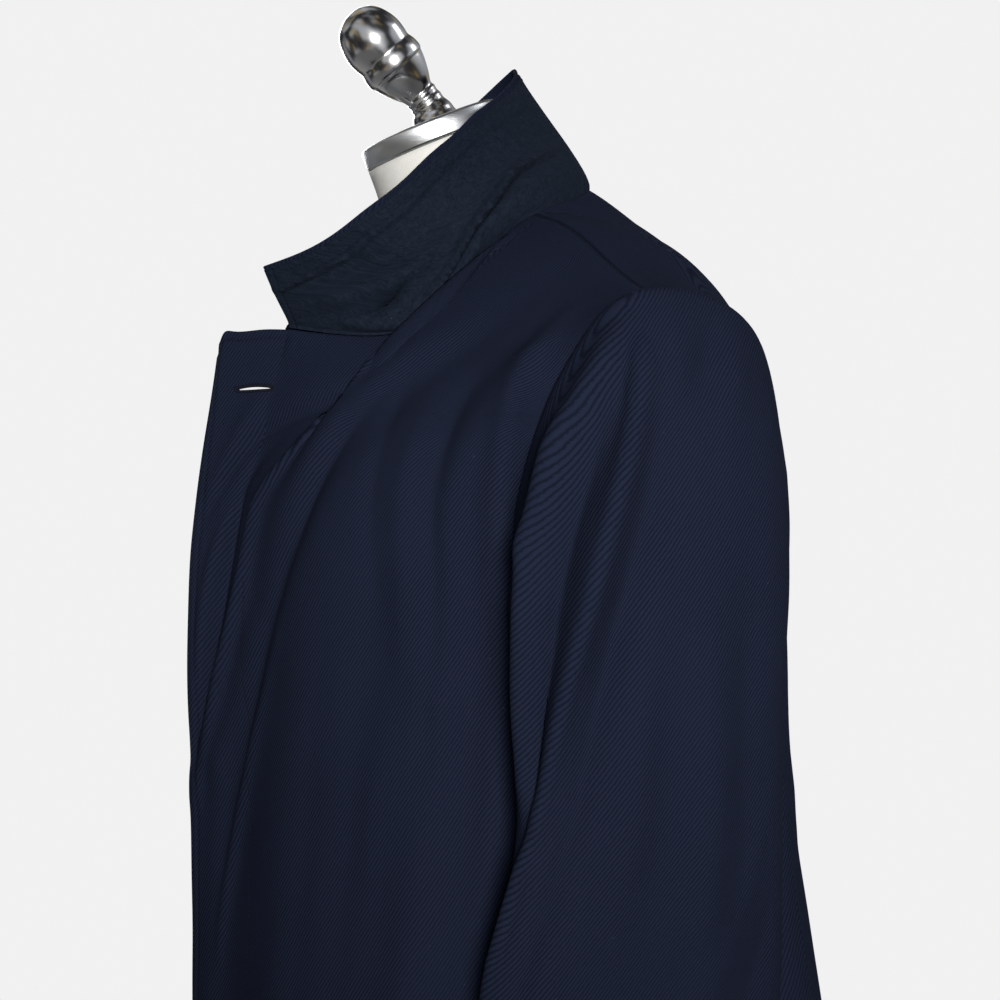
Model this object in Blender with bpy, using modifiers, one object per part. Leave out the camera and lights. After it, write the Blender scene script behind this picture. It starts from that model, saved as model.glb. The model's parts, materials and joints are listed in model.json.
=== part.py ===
"""A wool overcoat worn open on a limbless dress form, in metres, +Z up.

The wearer faces -Y and the wearer's left is +X. The origin is the centre of the stand's base, on the floor.
The cloth is built as walls lofted through sections; all sizes in the tables are in millimetres."""
import math

import bmesh
import bpy
import numpy as np
from mathutils import Matrix, Vector

# ---------------------------------------------------------------- sizes (millimetres)
WALL = 2.0              # cloth thickness
SEAM = 0.3              # gap between neighbouring pieces at a seam
HEM_Z = 480.0           # height of the coat's hem above the floor
CHEST_F_Z = 1290.0      # height where the front panel leaves the armhole
CHEST_B_Z = 1318.0      # height where the back panel leaves the armhole
UNDERARM_Z = 1242.0     # lowest point of the armhole

# Plan landmarks round half of the coat, from centre back to the front edge.
LANDMARK_AT = {"cb": 0.0, "blade": 0.125, "bpitch": 0.26, "side": 0.37,
               "fpitch": 0.48, "chest": 0.63, "mid": 0.755, "cf": 0.88, "edge": 1.0}
NAMES = list(LANDMARK_AT)
G_AT = np.array([-LANDMARK_AT["blade"]] + [LANDMARK_AT[n] for n in NAMES])   # the other blade first, so the back is smooth

# The wearer's left half: a row per horizontal section, x and y of each landmark.
#            z     cb          blade       bpitch      side       fpitch      chest        mid          cf          edge
LEFT_ROWS = [
    (480,  (0, 232), (128, 240), (227, 194), (252, 84), (246, -46), (196, -150), (128, -192), (64, -204), (6, -214)),
    (640,  (0, 218), (122, 226), (221, 190), (238, 82), (232, -42), (184, -142), (120, -184), (58, -196), (5, -208)),
    (800,  (0, 204), (118, 212), (216, 184), (224, 79), (219, -38), (174, -134), (112, -175), (52, -188), (5, -203)),
    (950,  (0, 188), (116, 196), (212, 173), (211, 76), (206, -34), (164, -124), (106, -165), (47, -180), (5, -200)),
    (1050, (0, 177), (114, 182), (206, 160), (204, 74), (199, -32), (159, -118), (103, -160), (44, -176), (6, -201)),
    (1150, (0, 171), (112, 175), (203, 151), (199, 72), (194, -30), (155, -112), (100, -154), (42, -172), (7, -204)),
    (1230, (0, 172), (111, 176), (202, 149), (196, 71), (191, -28), (153, -107), (99, -149), (41, -170), (8, -204)),
    (1290, (0, 174), (110, 179), (203, 151), (196, 70), (190, -27), (151, -104), (98, -146), (41, -168), (9, -200)),
    (1330, (0, 172), (108, 179), (203, 151), (198, 70), (194, -22), (150, -98), (96, -140), (41, -164), (11, -195)),
]
# The wearer's right half: the same back, the front hangs further open and closer to the form.
#            z     fpitch        chest         mid           cf            edge
RIGHT_FRONT = [
    (480,  (-246, -46), (-200, -146), (-146, -184), (-92, -196), (-42, -202)),
    (640,  (-232, -42), (-190, -136), (-140, -172), (-90, -184), (-42, -192)),
    (800,  (-219, -38), (-180, -126), (-134, -160), (-86, -172), (-40, -182)),
    (950,  (-206, -33), (-170, -114), (-126, -147), (-80, -160), (-36, -172)),
    (1050, (-199, -30), (-165, -107), (-122, -139), (-78, -152), (-34, -164)),
    (1150, (-194, -27), (-161, -100), (-120, -131), (-77, -144), (-34, -156)),
    (1230, (-191, -24), (-158, -95), (-118, -125), (-76, -137), (-34, -147)),
    (1290, (-190, -22), (-157, -91), (-117, -120), (-76, -131), (-34, -141)),
    (1330, (-194, -18), (-157, -86), (-116, -115), (-75, -126), (-34, -134)),
]

# The armhole, seen as a loop: 0 at the back pitch, 0.25 at the shoulder point, 0.5 at the front pitch, 0.75 underarm.
ARMHOLE = [
    #  at      x    y     z
    (0.000, 203, 157, 1318), (0.055, 206, 147, 1358), (0.105, 210, 135, 1390), (0.150, 215, 118, 1412),
    (0.200, 220, 86, 1427), (0.250, 225, 47, 1429), (0.300, 222, 20, 1417), (0.350, 215, 1, 1390),
    (0.420, 205, -15, 1352), (0.500, 190, -27, 1290), (0.580, 190.5, -14, 1262), (0.660, 193, 22, 1246),
    (0.750, 196, 70, 1242), (0.840, 199, 118, 1254), (0.930, 202, 148, 1284), (1.000, 203, 157, 1318),
]

# Neck seam of the left half, from the centre back to the centre front.
NECK_LEFT = [
    #  at      x    y     z
    (0.000, 0, 97, 1533), (0.130, 25, 89, 1529), (0.260, 49, 68, 1518), (0.400, 75, 28, 1500),
    (0.510, 84, -4, 1477), (0.610, 89, -32, 1449), (0.700, 88, -60, 1421), (0.790, 80, -82, 1411),
    (0.890, 62, -109, 1412), (1.000, 35, -138, 1418),
]
NECK_RIGHT = [
    (0.000, 0, 97, 1533), (0.130, -25, 89, 1529), (0.260, -49, 68, 1518), (0.400, -75, 28, 1500),
    (0.510, -85, -4, 1475), (0.610, -92, -32, 1444), (0.700, -95, -58, 1417), (0.790, -94, -79, 1405),
    (0.890, -87, -99, 1402), (1.000, -72, -116, 1404),
]
NECK_POINT_AT = 0.40
# Top edge of each front, from the neck seam's end to the rounded corner.
TOP_LEFT = [(0.0, 35, -138, 1418), (0.4, 24, -156, 1418.5), (0.8, 13, -174, 1418), (0.93, 10, -180, 1416), (1.0, 9, -183, 1409)]
TOP_RIGHT = [(0.0, -72, -116, 1404), (0.4, -57, -121, 1404.5), (0.8, -42, -125, 1404), (0.93, -37, -126.5, 1402), (1.0, -35, -127, 1395)]

# Where along the front panel's top the shoulder seam and the neck seam end, as shares of its width.
NECK_C, CF_C = 0.56, 0.80
BACK_NECK_C = 0.55


def basis(knots, x):
    """Natural cubic spline weights: a row per value of x, a column per knot."""
    k = np.asarray(knots, float)
    x = np.clip(np.asarray(x, float), k[0], k[-1])
    n = len(k)
    h = np.diff(k)
    a = np.zeros((n, n))
    r = np.zeros((n, n))
    a[0, 0] = a[-1, -1] = 1
    for i in range(1, n - 1):
        a[i, i - 1], a[i, i], a[i, i + 1] = h[i - 1], 2 * (h[i - 1] + h[i]), h[i]
        r[i, i - 1], r[i, i], r[i, i + 1] = 6 / h[i - 1], -6 / h[i - 1] - 6 / h[i], 6 / h[i]
    m = np.linalg.solve(a, r)
    j = np.clip(np.searchsorted(k, x, side="right") - 1, 0, n - 2)
    d, e = k[j + 1] - x, x - k[j]
    hj = h[j]
    w = m[j] * ((d**3 / hj - hj * d) / 6)[:, None] + m[j + 1] * ((e**3 / hj - hj * e) / 6)[:, None]
    w[np.arange(len(x)), j] += d / hj
    w[np.arange(len(x)), j + 1] += e / hj
    return w


def through(table, x):
    """Points at the values x along a curve given as rows of (at, x, y, z)."""
    t = np.array(table, float)
    return basis(t[:, 0], np.ravel(x)) @ t[:, 1:]


def smooth(a, b, x):
    t = np.clip((np.asarray(x, float) - a) / (b - a), 0, 1)
    return t * t * (3 - 2 * t)


def half_table(side):
    rows = []
    for i, row in enumerate(LEFT_ROWS):
        pts = [(side * p[0], p[1]) for p in row[1:]]
        if side < 0:
            pts[4:] = [tuple(p) for p in RIGHT_FRONT[i][1:]]
        rows.append([(-pts[1][0], pts[1][1])] + pts)
    return np.array([r[0] for r in LEFT_ROWS], float), np.array(rows, float)


TABLES = {1: half_table(1), -1: half_table(-1)}


def section(side, g, z):
    """The coat's surface below the chest: g from centre back (0) to the front edge (1), at height z."""
    zs, pts = TABLES[side]
    g, z = np.broadcast_arrays(np.asarray(g, float), np.asarray(z, float))
    bz = basis(zs, z.ravel())
    bg = basis(G_AT, g.ravel())
    xy = np.einsum("ir,ik,rkd->id", bz, bg, pts)
    out = np.concatenate([xy, z.ravel()[:, None]], 1)
    return out.reshape(g.shape + (3,))


def armhole(side, at):
    """The armhole's loop: the table over the shoulder, and the body's own surface under the arm."""
    at = np.ravel(at).astype(float) % 1.0
    p = through(ARMHOLE, at)
    p[:, 0] *= side
    front = section(side, [LANDMARK_AT["fpitch"]], [CHEST_F_Z])[0] - through(ARMHOLE, [0.5])[0] * [side, 1, 1]
    back = section(side, [LANDMARK_AT["bpitch"]], [CHEST_B_Z])[0] - through(ARMHOLE, [0.0])[0] * [side, 1, 1]
    p += smooth(0.28, 0.5, at)[:, None] * front + (1 - smooth(0.0, 0.2, at))[:, None] * back
    for lo, word, pitch in ((0.5, "front", "fpitch"), (0.75, "back", "bpitch")):
        k = (at > lo) & (at <= lo + 0.25)
        if k.any():
            turn = (at[k] - lo) / 0.25 * np.pi / 2
            t = np.cos(turn) if word == "front" else np.sin(turn)
            g = LANDMARK_AT["side"] + (LANDMARK_AT[pitch] - LANDMARK_AT["side"]) * t
            p[k] = section(side, g, armhole_low_z(word, t))
    return p


def neck(side, at):
    return through(NECK_LEFT if side > 0 else NECK_RIGHT, at)


def shoulder(side, t):
    """Shoulder seam from the shoulder point (0) to the neck point (1), slightly hollow."""
    a = armhole(side, [0.25])[0]
    b = neck(side, [NECK_POINT_AT])[0]
    t = np.ravel(t)[:, None]
    p = a + (b - a) * t
    p[:, 2] += (6 * np.sin(np.pi * t) - 5 * np.sin(2 * np.pi * t))[:, 0] * 0.6
    p[:, 1] += 3 * np.sin(np.pi * t)[:, 0]
    return p


def front_top(side, c):
    c = np.ravel(c)
    out = np.zeros((len(c), 3))
    a = c <= NECK_C
    out[a] = shoulder(side, c[a] / NECK_C)
    b = (c > NECK_C) & (c <= CF_C)
    out[b] = neck(side, NECK_POINT_AT + (1 - NECK_POINT_AT) * (c[b] - NECK_C) / (CF_C - NECK_C))
    d = c > CF_C
    out[d] = through(TOP_LEFT if side > 0 else TOP_RIGHT, (c[d] - CF_C) / (1 - CF_C))
    return out


def back_top(side, c):
    """Top of the back panel: c = 0 at the shoulder point, 1 at the centre back."""
    c = np.ravel(c)
    out = np.zeros((len(c), 3))
    a = c <= BACK_NECK_C
    out[a] = shoulder(side, c[a] / BACK_NECK_C)
    b = ~a
    out[b] = neck(side, NECK_POINT_AT * (1 - (c[b] - BACK_NECK_C) / (1 - BACK_NECK_C)))
    return out


def hermite(p0, p1, m0, m1, v):
    v = v[..., None]
    return ((2 * v**3 - 3 * v**2 + 1) * p0 + (v**3 - 2 * v**2 + v) * m0
            + (-2 * v**3 + 3 * v**2) * p1 + (v**3 - v**2) * m1)


# Direction in which each panel leaves its top edge: share of the width, x, y, z.
FRONT_LEAVE = [(0.00, 0.00, -0.72, -0.70), (0.28, 0.03, -0.80, -0.62), (0.50, 0.20, -0.84, -0.50), (0.56, 0.50, -0.74, -0.45),
               (0.63, 0.78, -0.36, -0.50), (0.69, 0.74, -0.34, -0.58), (0.75, 0.35, -0.45, -0.82), (0.80, 0.05, -0.25, -0.96),
               (1.00, 0.00, -0.12, -0.99)]
BACK_LEAVE = [(0.00, 0.00, 0.96, -0.15), (0.28, 0.02, 0.98, 0.20), (0.55, 0.06, 0.99, 0.12),
              (0.80, 0.03, 0.88, -0.36), (1.00, 0.00, 0.82, -0.48)]


def upper(side, c, v, back=False):
    """The panel above the chest: c across (0 at the armhole), v down (0 at the top, 1 at the chest)."""
    shape = np.broadcast(c, v).shape
    c = np.broadcast_to(c, shape).ravel().astype(float)
    v = np.broadcast_to(v, shape).ravel().astype(float)
    z0 = CHEST_B_Z if back else CHEST_F_Z
    ga, gb = (LANDMARK_AT["bpitch"], 0.0) if back else (LANDMARK_AT["fpitch"], 1.0)
    g = ga + (gb - ga) * c
    top = back_top(side, c) if back else front_top(side, c)
    low = section(side, g, np.full(len(g), z0))
    dz = (section(side, g, np.full(len(g), z0 + 4.0)) - section(side, g, np.full(len(g), z0 - 4.0))) / 8.0
    drop = (top[:, 2] - z0)[:, None]
    leave = np.array(BACK_LEAVE if back else FRONT_LEAVE)
    lv = np.stack([np.interp(c, leave[:, 0], leave[:, i]) for i in (1, 2, 3)], 1)
    lv[:, 0] *= side
    lv /= np.linalg.norm(lv, axis=1)[:, None]
    pull = 1.35 if back else 1.15
    m0 = lv * np.linalg.norm(top - low, axis=1)[:, None] * pull
    m1 = -dz * drop * (1.45 if back else 1.1)
    p = hermite(top, low, m0, m1, v)
    # the armhole edge follows the armhole itself, and eases into the panel
    a0, a1 = (0.25, 0.0) if back else (0.25, 0.5)
    edge = armhole(side, a0 + (a1 - a0) * v)
    t0 = (back_top(side, [0.0]) if back else front_top(side, [0.0]))[0]
    l0 = section(side, [ga], [z0])[0]
    dz0 = ((section(side, [ga], [z0 + 4.0]) - section(side, [ga], [z0 - 4.0])) / 8.0)[0]
    lv0 = leave[0, 1:] * np.array([side, 1, 1])
    lv0 /= np.linalg.norm(lv0)
    m00 = np.repeat((lv0 * np.linalg.norm(t0 - l0) * pull)[None], len(v), 0)
    m10 = np.repeat((-dz0 * (t0[2] - z0) * (1.45 if back else 1.1))[None], len(v), 0)
    plain = hermite(np.repeat(t0[None], len(v), 0), np.repeat(l0[None], len(v), 0), m00, m10, v)
    ease = np.clip(1 - c / 0.42, 0, 1) ** 2
    p += (edge - plain) * ease[:, None]
    return p.reshape(shape + (3,))


def armhole_low_z(side_of_seam, t):
    """Height of the armhole's lower edge: t from the side seam (0) to the front or back pitch (1)."""
    top = CHEST_F_Z if side_of_seam == "front" else CHEST_B_Z
    t = np.clip(np.asarray(t, float), 0, 1)
    return top - (top - UNDERARM_Z) * np.sqrt(np.maximum(1 - t**2, 0))


# Soft folds of the cloth: where it runs over the panel (share across, height), how high and how wide, in mm.
#   panel   g0     z0     g1     z1    height  width
FOLDS = [
    ("left", 0.700, 1395, 0.930, 1120, 7.0, 26),
    ("left", 0.930, 1120, 0.965, 860, 5.0, 24),
    ("left", 0.640, 1400, 0.840, 1230, -6.0, 24),
    ("left", 0.800, 1395, 0.925, 1310, -4.0, 20),
    ("left", 0.545, 1385, 0.560, 1180, 8.0, 22),
    ("left", 0.560, 1180, 0.575, 820, 6.0, 24),
    ("left", 0.640, 1240, 0.660, 700, -7.0, 30),
    ("left", 0.750, 1180, 0.770, 520, 7.0, 34),
    ("right", 0.560, 1360, 0.600, 760, 7.0, 26),
    ("right", 0.690, 1330, 0.760, 640, -6.0, 30),
    ("left", 0.180, 1100, 0.165, 520, 9.0, 34),
    ("left", 0.070, 1180, 0.060, 500, -6.0, 34),
    ("right", 0.180, 1120, 0.170, 520, 9.0, 34),
    ("right", 0.080, 1200, 0.070, 500, -6.0, 34),
]


def line_bump(px, py, ax, ay, bx, by, width, height, fade):
    """Height of a soft fold along the line a-b, fading out at its ends."""
    dx, dy = bx - ax, by - ay
    n2 = dx * dx + dy * dy
    t = ((px - ax) * dx + (py - ay) * dy) / n2
    tc = np.clip(t, 0, 1)
    d = np.hypot(px - ax - tc * dx, py - ay - tc * dy)
    over = np.maximum(np.maximum(-t, t - 1), 0) * np.sqrt(n2)
    return height * np.exp(-(np.minimum(d, 1e6) / width) ** 2 * 1.6) * np.exp(-(over / fade) ** 2)


def body_folds(side, g, z):
    """Height of the folds over the body: g is turned into millimetres round the coat (about 640 a half)."""
    word = "left" if side > 0 else "right"
    out = np.zeros(np.broadcast(g, z).shape)
    for panel, g0, z0, g1, z1, high, wide in FOLDS:
        if panel == word:
            out = out + line_bump(g * 640, z, g0 * 640, z0, g1 * 640, z1, wide, high, 60.0)
    return out


def wall_normal(side, g, z):
    """Outward normal of the section surface, the same on both sides of a seam."""
    a = section(side, np.minimum(g + 0.004, 1.0), z) - section(side, np.maximum(g - 0.004, 0.0), z)
    b = section(side, g, z + 3.0) - section(side, g, z - 3.0)
    n = np.cross(a, b) * -side
    return n / np.linalg.norm(n, axis=-1)[..., None]


def body(side, g, z):
    """The coat below the chest with its folds."""
    return section(side, g, z) + wall_normal(side, g, z) * body_folds(side, g, z)[..., None]


def push(p, h):
    """A grid of points moved by h along the surface's outward normal."""
    du = np.gradient(p, axis=1)
    dv = np.gradient(p, axis=0)
    n = np.cross(du, dv)
    n /= np.maximum(np.linalg.norm(n, axis=2), 1e-9)[..., None]
    return p + n * h[..., None], n


# ---------------------------------------------------------------- sleeve
# A row per section down the sleeve: height, centre x, centre y, half thickness, half width (front to back).
SLEEVE_ROWS = [
    (1225, 249, 38, 39, 91), (1150, 249, 38, 36, 88), (1100, 250, 38, 33, 87), (1050, 251, 34, 29, 91),
    (1000, 253, 28, 26, 95), (950, 255, 22, 25, 94), (880, 258, 12, 25, 88), (800, 260, 2, 26, 79),
]
CUFF_Z = 800.0
SLEEVE_TOP_Z = 1225.0
SLEEVE_IN_SEAM, SLEEVE_BACK_SEAM = 0.60, 0.985   # where its two seams run, as shares round it
SLEEVE_FOLDS = [
    #  at0    z0     at1    z1    height  width
    (0.335, 1400, 0.440, 1270, 6.0, 17), (0.440, 1270, 0.470, 1120, 5.5, 18),
    (0.300, 1385, 0.345, 1250, 7.0, 18), (0.345, 1250, 0.440, 1080, 6.0, 18), (0.440, 1080, 0.500, 1000, 5.0, 18),
    (0.350, 1350, 0.405, 1230, -5.0, 13), (0.405, 1230, 0.430, 1130, -4.0, 14),
    (0.285, 1345, 0.315, 1200, -4.0, 20), (0.205, 1425, 0.215, 1370, -3.0, 12),
    (0.215, 1200, 0.225, 1050, 4.0, 22), (0.300, 1220, 0.310, 1090, 3.0, 20),
    (0.780, 1180, 0.800, 900, 4.0, 22), (0.130, 1150, 0.120, 880, -3.5, 20),
]


def sleeve(side, at, v, lift=3.0):
    """The sleeve's surface: at round it (0 at the back, 0.25 outside, 0.5 front), v down from 0 at the armhole,
    1 at the sleeve's first level section, 2 at the cuff."""
    shape = np.broadcast(at, v).shape
    at = np.broadcast_to(at, shape).ravel() % 1.0
    v = np.broadcast_to(v, shape).ravel().astype(float)
    rows = np.array(SLEEVE_ROWS, float)[::-1]
    z = np.where(v > 1, SLEEVE_TOP_Z + (CUFF_Z - SLEEVE_TOP_Z) * (v - 1), SLEEVE_TOP_Z)

    def ring(zz):
        w = basis(rows[:, 0], zz) @ rows[:, 1:]
        a = 2 * np.pi * at
        s, c = np.sin(a), np.cos(a)
        k = 0.88
        return np.stack([w[:, 0] + w[:, 2] * np.sign(s) * np.abs(s) ** k, w[:, 1] + w[:, 3] * np.sign(c) * np.abs(c) ** k, zz], 1)

    low = ring(z)
    top = armhole(side, at) * np.array([side, 1, 1])
    top[:, 0] += lift + 1.0 * np.exp(-((at - 0.55) / 0.1) ** 2) + 0.9 * np.exp(-((at - 0.84) / 0.16) ** 2)
    dz = (ring(np.full(len(at), SLEEVE_TOP_Z)) - ring(np.full(len(at), SLEEVE_TOP_Z - 6.0))) / 6.0
    crown = np.exp(-((at - 0.25) / 0.16) ** 2)
    front = np.exp(-((at - 0.50) / 0.12) ** 2)
    behind = np.exp(-((at - 0.02) / 0.10) ** 2) + np.exp(-((at - 1.02) / 0.10) ** 2)
    leave = np.stack([np.full(len(at), 1.0), 0.02 * behind - 0.50 * front, 0.18 * crown - 0.35 * (1 - crown)], 1)
    leave /= np.linalg.norm(leave, axis=1)[:, None]
    reach = 60 + 55 * crown
    drop = (top[:, 2] - SLEEVE_TOP_Z)[:, None]
    p = hermite(top, low, leave * reach[:, None], -dz * np.maximum(drop, 22.0) * 1.15, np.minimum(v, 1))
    p[v > 1] = low[v > 1]
    p[:, 0] *= side
    return p.reshape(shape + (3,))


def sleeve_folds(at, z):
    out = np.zeros(np.broadcast(at, z).shape)
    for a0, z0, a1, z1, high, wide in SLEEVE_FOLDS:
        out = out + line_bump(at * 420, z, a0 * 420, z0, a1 * 420, z1, wide, high, 40.0)
    return out


# ---------------------------------------------------------------- collar
# The turned-up collar's upper edge, from the centre back to its front end, for each half.
COLLAR_EDGE_LEFT = [
    (0.000, 0, 40, 1622), (0.130, 26, 32, 1611), (0.260, 47, 12, 1591), (0.400, 68, -14, 1571), (0.520, 77, -33, 1553),
    (0.640, 84, -54, 1535), (0.740, 89, -77, 1513), (0.820, 88, -100, 1495), (0.890, 80, -118, 1480), (0.950, 66, -138, 1468),
    (1.000, 46, -159, 1460),
]
COLLAR_EDGE_RIGHT = [
    (0.000, 0, 40, 1622), (0.130, -26, 32, 1612), (0.260, -48, 11, 1590), (0.400, -70, -14, 1564), (0.520, -79, -33, 1541),
    (0.640, -88, -50, 1518), (0.740, -95, -66, 1494), (0.820, -98, -80, 1476), (0.890, -95, -91, 1461), (0.950, -86, -101, 1450),
    (1.000, -74, -110, 1442),
]
# The stand line, where the collar was once turned down.
STAND_SHARE = 0.33


def collar(side, s, v):
    """The collar between the neck seam (v = 0) and its upper edge (v = 1); s from the centre back to its front end."""
    shape = np.broadcast(s, v).shape
    s = np.broadcast_to(s, shape).ravel().astype(float)
    v = np.broadcast_to(v, shape).ravel().astype(float)
    low = neck(side, s)
    low[:, 2] += 4.8
    high = through(COLLAR_EDGE_LEFT if side > 0 else COLLAR_EDGE_RIGHT, s)
    span = np.linalg.norm(high - low, axis=1)[:, None]
    out = np.stack([side * 0.55 * smooth(0.15, 0.6, s), -0.25 * (1 - smooth(0.1, 0.6, s)) - 0.45 * smooth(0.6, 0.95, s), np.full(len(s), 0.80)], 1)
    out /= np.linalg.norm(out, axis=1)[:, None]
    rise = high - low
    m0 = out * span * 0.75
    m1 = rise * 0.85 + np.array([0, 0, 0.22]) * span
    p = hermite(low, high, m0, m1, v)
    return p.reshape(shape + (3,))


# ---------------------------------------------------------------- dress form
# A row per ring: height, centre y, half width, depth to the front, depth to the back, lean in degrees.
FORM_ROWS = [
    (792, 4, 152, 92, 96, 0), (830, 4, 164, 100, 108, 0), (880, 4, 172, 104, 116, 0), (950, 4, 170, 102, 116, 0),
    (1040, 4, 152, 96, 98, 0), (1110, 4, 145, 96, 94, 0), (1180, 6, 155, 104, 110, 0), (1250, 8, 168, 112, 128, 0),
    (1310, 8, 178, 110, 138, 0), (1350, 12, 184, 104, 136, 0), (1385, 20, 184, 94, 128, 0), (1408, 24, 174, 84, 118, 1),
    (1428, 26, 148, 74, 106, 3), (1448, 24, 112, 66, 92, 6), (1468, 18, 82, 60, 76, 10), (1490, 8, 66, 56, 62, 14),
    (1512, -4, 57, 54, 54, 18), (1540, -12.5, 54.6, 53.2, 52.6, 22), (1560.65, -20.35, 53.3, 53.3, 53.3, 23),
]
CAP_CENTRE = (0.0, -20.5, 1561.0)
CAP_LEAN = 23.0

# ---------------------------------------------------------------- building
COATS = "wool_overcoat"
for _o in list(bpy.data.objects):
    bpy.data.objects.remove(_o, do_unlink=True)
for _c in list(bpy.data.collections):
    bpy.data.collections.remove(_c)
BODY = bpy.data.collections.new(COATS)
CUTTERS = bpy.data.collections.new("cutters")
bpy.context.scene.collection.children.link(BODY)
bpy.context.scene.collection.children.link(CUTTERS)

MATERIALS = {
    "wool_twill": ((0.011, 0.015, 0.032, 1), 0.9, 0.0),
    "undercollar_felt": ((0.012, 0.021, 0.036, 1), 0.95, 0.0),
    "form_linen": ((0.62, 0.60, 0.53, 1), 0.9, 0.0),
    "polished_nickel": ((0.62, 0.61, 0.60, 1), 0.18, 1.0),
    "brushed_ring": ((0.42, 0.43, 0.44, 1), 0.35, 1.0),
    "painted_stand": ((0.05, 0.05, 0.055, 1), 0.45, 0.0),
    "horn_button": ((0.012, 0.013, 0.02, 1), 0.3, 0.0),
}
MATS = {}
for _name, (_rgba, _rough, _metal) in MATERIALS.items():
    _m = bpy.data.materials.new(_name)
    _m.use_nodes = True
    _b = _m.node_tree.nodes["Principled BSDF"]
    _b.inputs["Base Color"].default_value = _rgba
    _b.inputs["Roughness"].default_value = _rough
    _b.inputs["Metallic"].default_value = _metal
    _m.diffuse_color = _rgba
    MATS[_name] = _m


def obj_from(name, verts, faces, mat, coll=None):
    me = bpy.data.meshes.new(name)
    me.from_pydata([tuple(float(q) * 0.001 for q in p) for p in verts], [], faces)
    me.validate()
    me.polygons.foreach_set("use_smooth", [True] * len(me.polygons))
    o = bpy.data.objects.new(name, me)
    if mat:
        me.materials.append(MATS[mat])
    (coll or BODY).objects.link(o)
    return o


def grid_faces(nr, nc, start=0, flip=False):
    out = []
    for r in range(nr - 1):
        for c in range(nc - 1):
            a = start + r * nc + c
            q = (a, a + 1, a + nc + 1, a + nc)
            out.append(q[::-1] if flip else q)
    return out


def shell(name, grids, mat, thick=WALL, offset=-1.0, flip=False):
    """One cloth piece from one or more grids of points that share edges, as a wall of even thickness."""
    verts, faces = [], []
    for p in grids:
        faces += grid_faces(p.shape[0], p.shape[1], len(verts), flip)
        verts += [tuple(q) for q in p.reshape(-1, 3)]
    o = obj_from(name, verts, faces, mat)
    bm = bmesh.new()
    bm.from_mesh(o.data)
    bmesh.ops.remove_doubles(bm, verts=bm.verts[:], dist=0.00002)
    bm.to_mesh(o.data)
    bm.free()
    s = o.modifiers.new("wall", "SOLIDIFY")
    s.thickness = thick * 0.001
    s.offset = offset
    s.use_quality_normals = True
    s.thickness_clamp = 1.0
    return o


def inset_cols(p, first=0.0, last=0.0):
    """Pull the first and last columns in by these many millimetres, to leave the seam's gap."""
    p = p.copy()
    if first:
        d = p[:, 1] - p[:, 0]
        p[:, 0] += d / np.linalg.norm(d, axis=1)[:, None] * first
    if last:
        d = p[:, -2] - p[:, -1]
        p[:, -1] += d / np.linalg.norm(d, axis=1)[:, None] * last
    return p


def inset_top(p, by):
    p = p.copy()
    d = p[1] - p[0]
    p[0] += d / np.linalg.norm(d, axis=1)[:, None] * by
    return p


HALF_SEAM = SEAM / 2 + 0.05
CENTRE_BACK_GAP = 0.4
N_UP, N_LOW = 8, 9        # rows above and below the chest


def low_rows(ztop):
    t = np.linspace(0, 1, N_LOW)
    return ztop + (HEM_Z - ztop) * t


def fold_upper(side, p, g, v):
    """Carry the folds on above the chest, and fade them out at the top and the armhole."""
    q = p if side > 0 else p[:, ::-1]
    gg = g if side > 0 else g[:, ::-1]
    h = body_folds(side, gg, q[..., 2])
    _, n = push(q, h)
    if (n[q.shape[0] // 2, q.shape[1] // 2, 1] > 0) != (gg.mean() < 0.3):
        n = -n
    q = q + n * (h * smooth(0.0, 0.35, v)[:, None])[..., None]
    return q if side > 0 else q[:, ::-1]


def panel(side, c, g, up, zc, gs, top_of):
    """A front or back panel: the main part under the shoulder, and the part under the arm up to the side seam."""
    v = np.linspace(0, 1, N_UP)
    z = low_rows(zc)
    low = body(side, g[None, :] + 0 * z[:, None], z[:, None] + 0 * g[None, :])
    up = fold_upper(side, up, np.repeat(g[None], N_UP, 0), v)
    main = np.concatenate([up[:-1], low], 0)
    t = np.sin(np.linspace(0, 1, 5) * np.pi / 2)
    gb = LANDMARK_AT["side"] + (g[0] - LANDMARK_AT["side"]) * t
    zt = armhole_low_z(top_of, t)
    zb = zt[None, :] + (HEM_Z - zt[None, :]) * np.linspace(0, 1, N_LOW)[:, None]
    blk = body(side, gb[None, :] + 0 * zb, zb)
    main = inset_top(main, HALF_SEAM * 2)
    blk = inset_cols(blk, first=HALF_SEAM)
    blk[:, -1] = main[N_UP - 1:, 0]
    return main, blk


def front_panel(side):
    c = np.concatenate([np.linspace(0, NECK_C, 7), np.linspace(NECK_C, CF_C, 5)[1:], np.linspace(CF_C, 1, 5)[1:]])
    g = LANDMARK_AT["fpitch"] + (1 - LANDMARK_AT["fpitch"]) * c
    up = upper(side, c[None, :], np.linspace(0, 1, N_UP)[:, None])
    return panel(side, c, g, up, CHEST_F_Z, LANDMARK_AT["side"], "front")


def back_panel(side):
    c = np.concatenate([np.linspace(0, BACK_NECK_C, 6), np.linspace(BACK_NECK_C, 1, 6)[1:]])
    g = LANDMARK_AT["bpitch"] * (1 - c)
    up = upper(side, c[None, :], np.linspace(0, 1, N_UP)[:, None], back=True)
    main, blk = panel(side, c, g, up, CHEST_B_Z, LANDMARK_AT["side"], "back")
    main[:, -1, 0] = side * CENTRE_BACK_GAP
    return main, blk


BUTTONHOLE = {"g": 0.8835, "z": 1377.0, "length": 33.0, "open": 2.4, "deep": 16.0}

panels = {}
for side, word in ((1, "left"), (-1, "right")):
    panels["front", side] = front_panel(side)
    panels["back", side] = back_panel(side)
    shell("coat_front_" + word, panels["front", side], "wool_twill", flip=side > 0)
    shell("coat_back_" + word, panels["back", side], "wool_twill", flip=side < 0)

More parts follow.
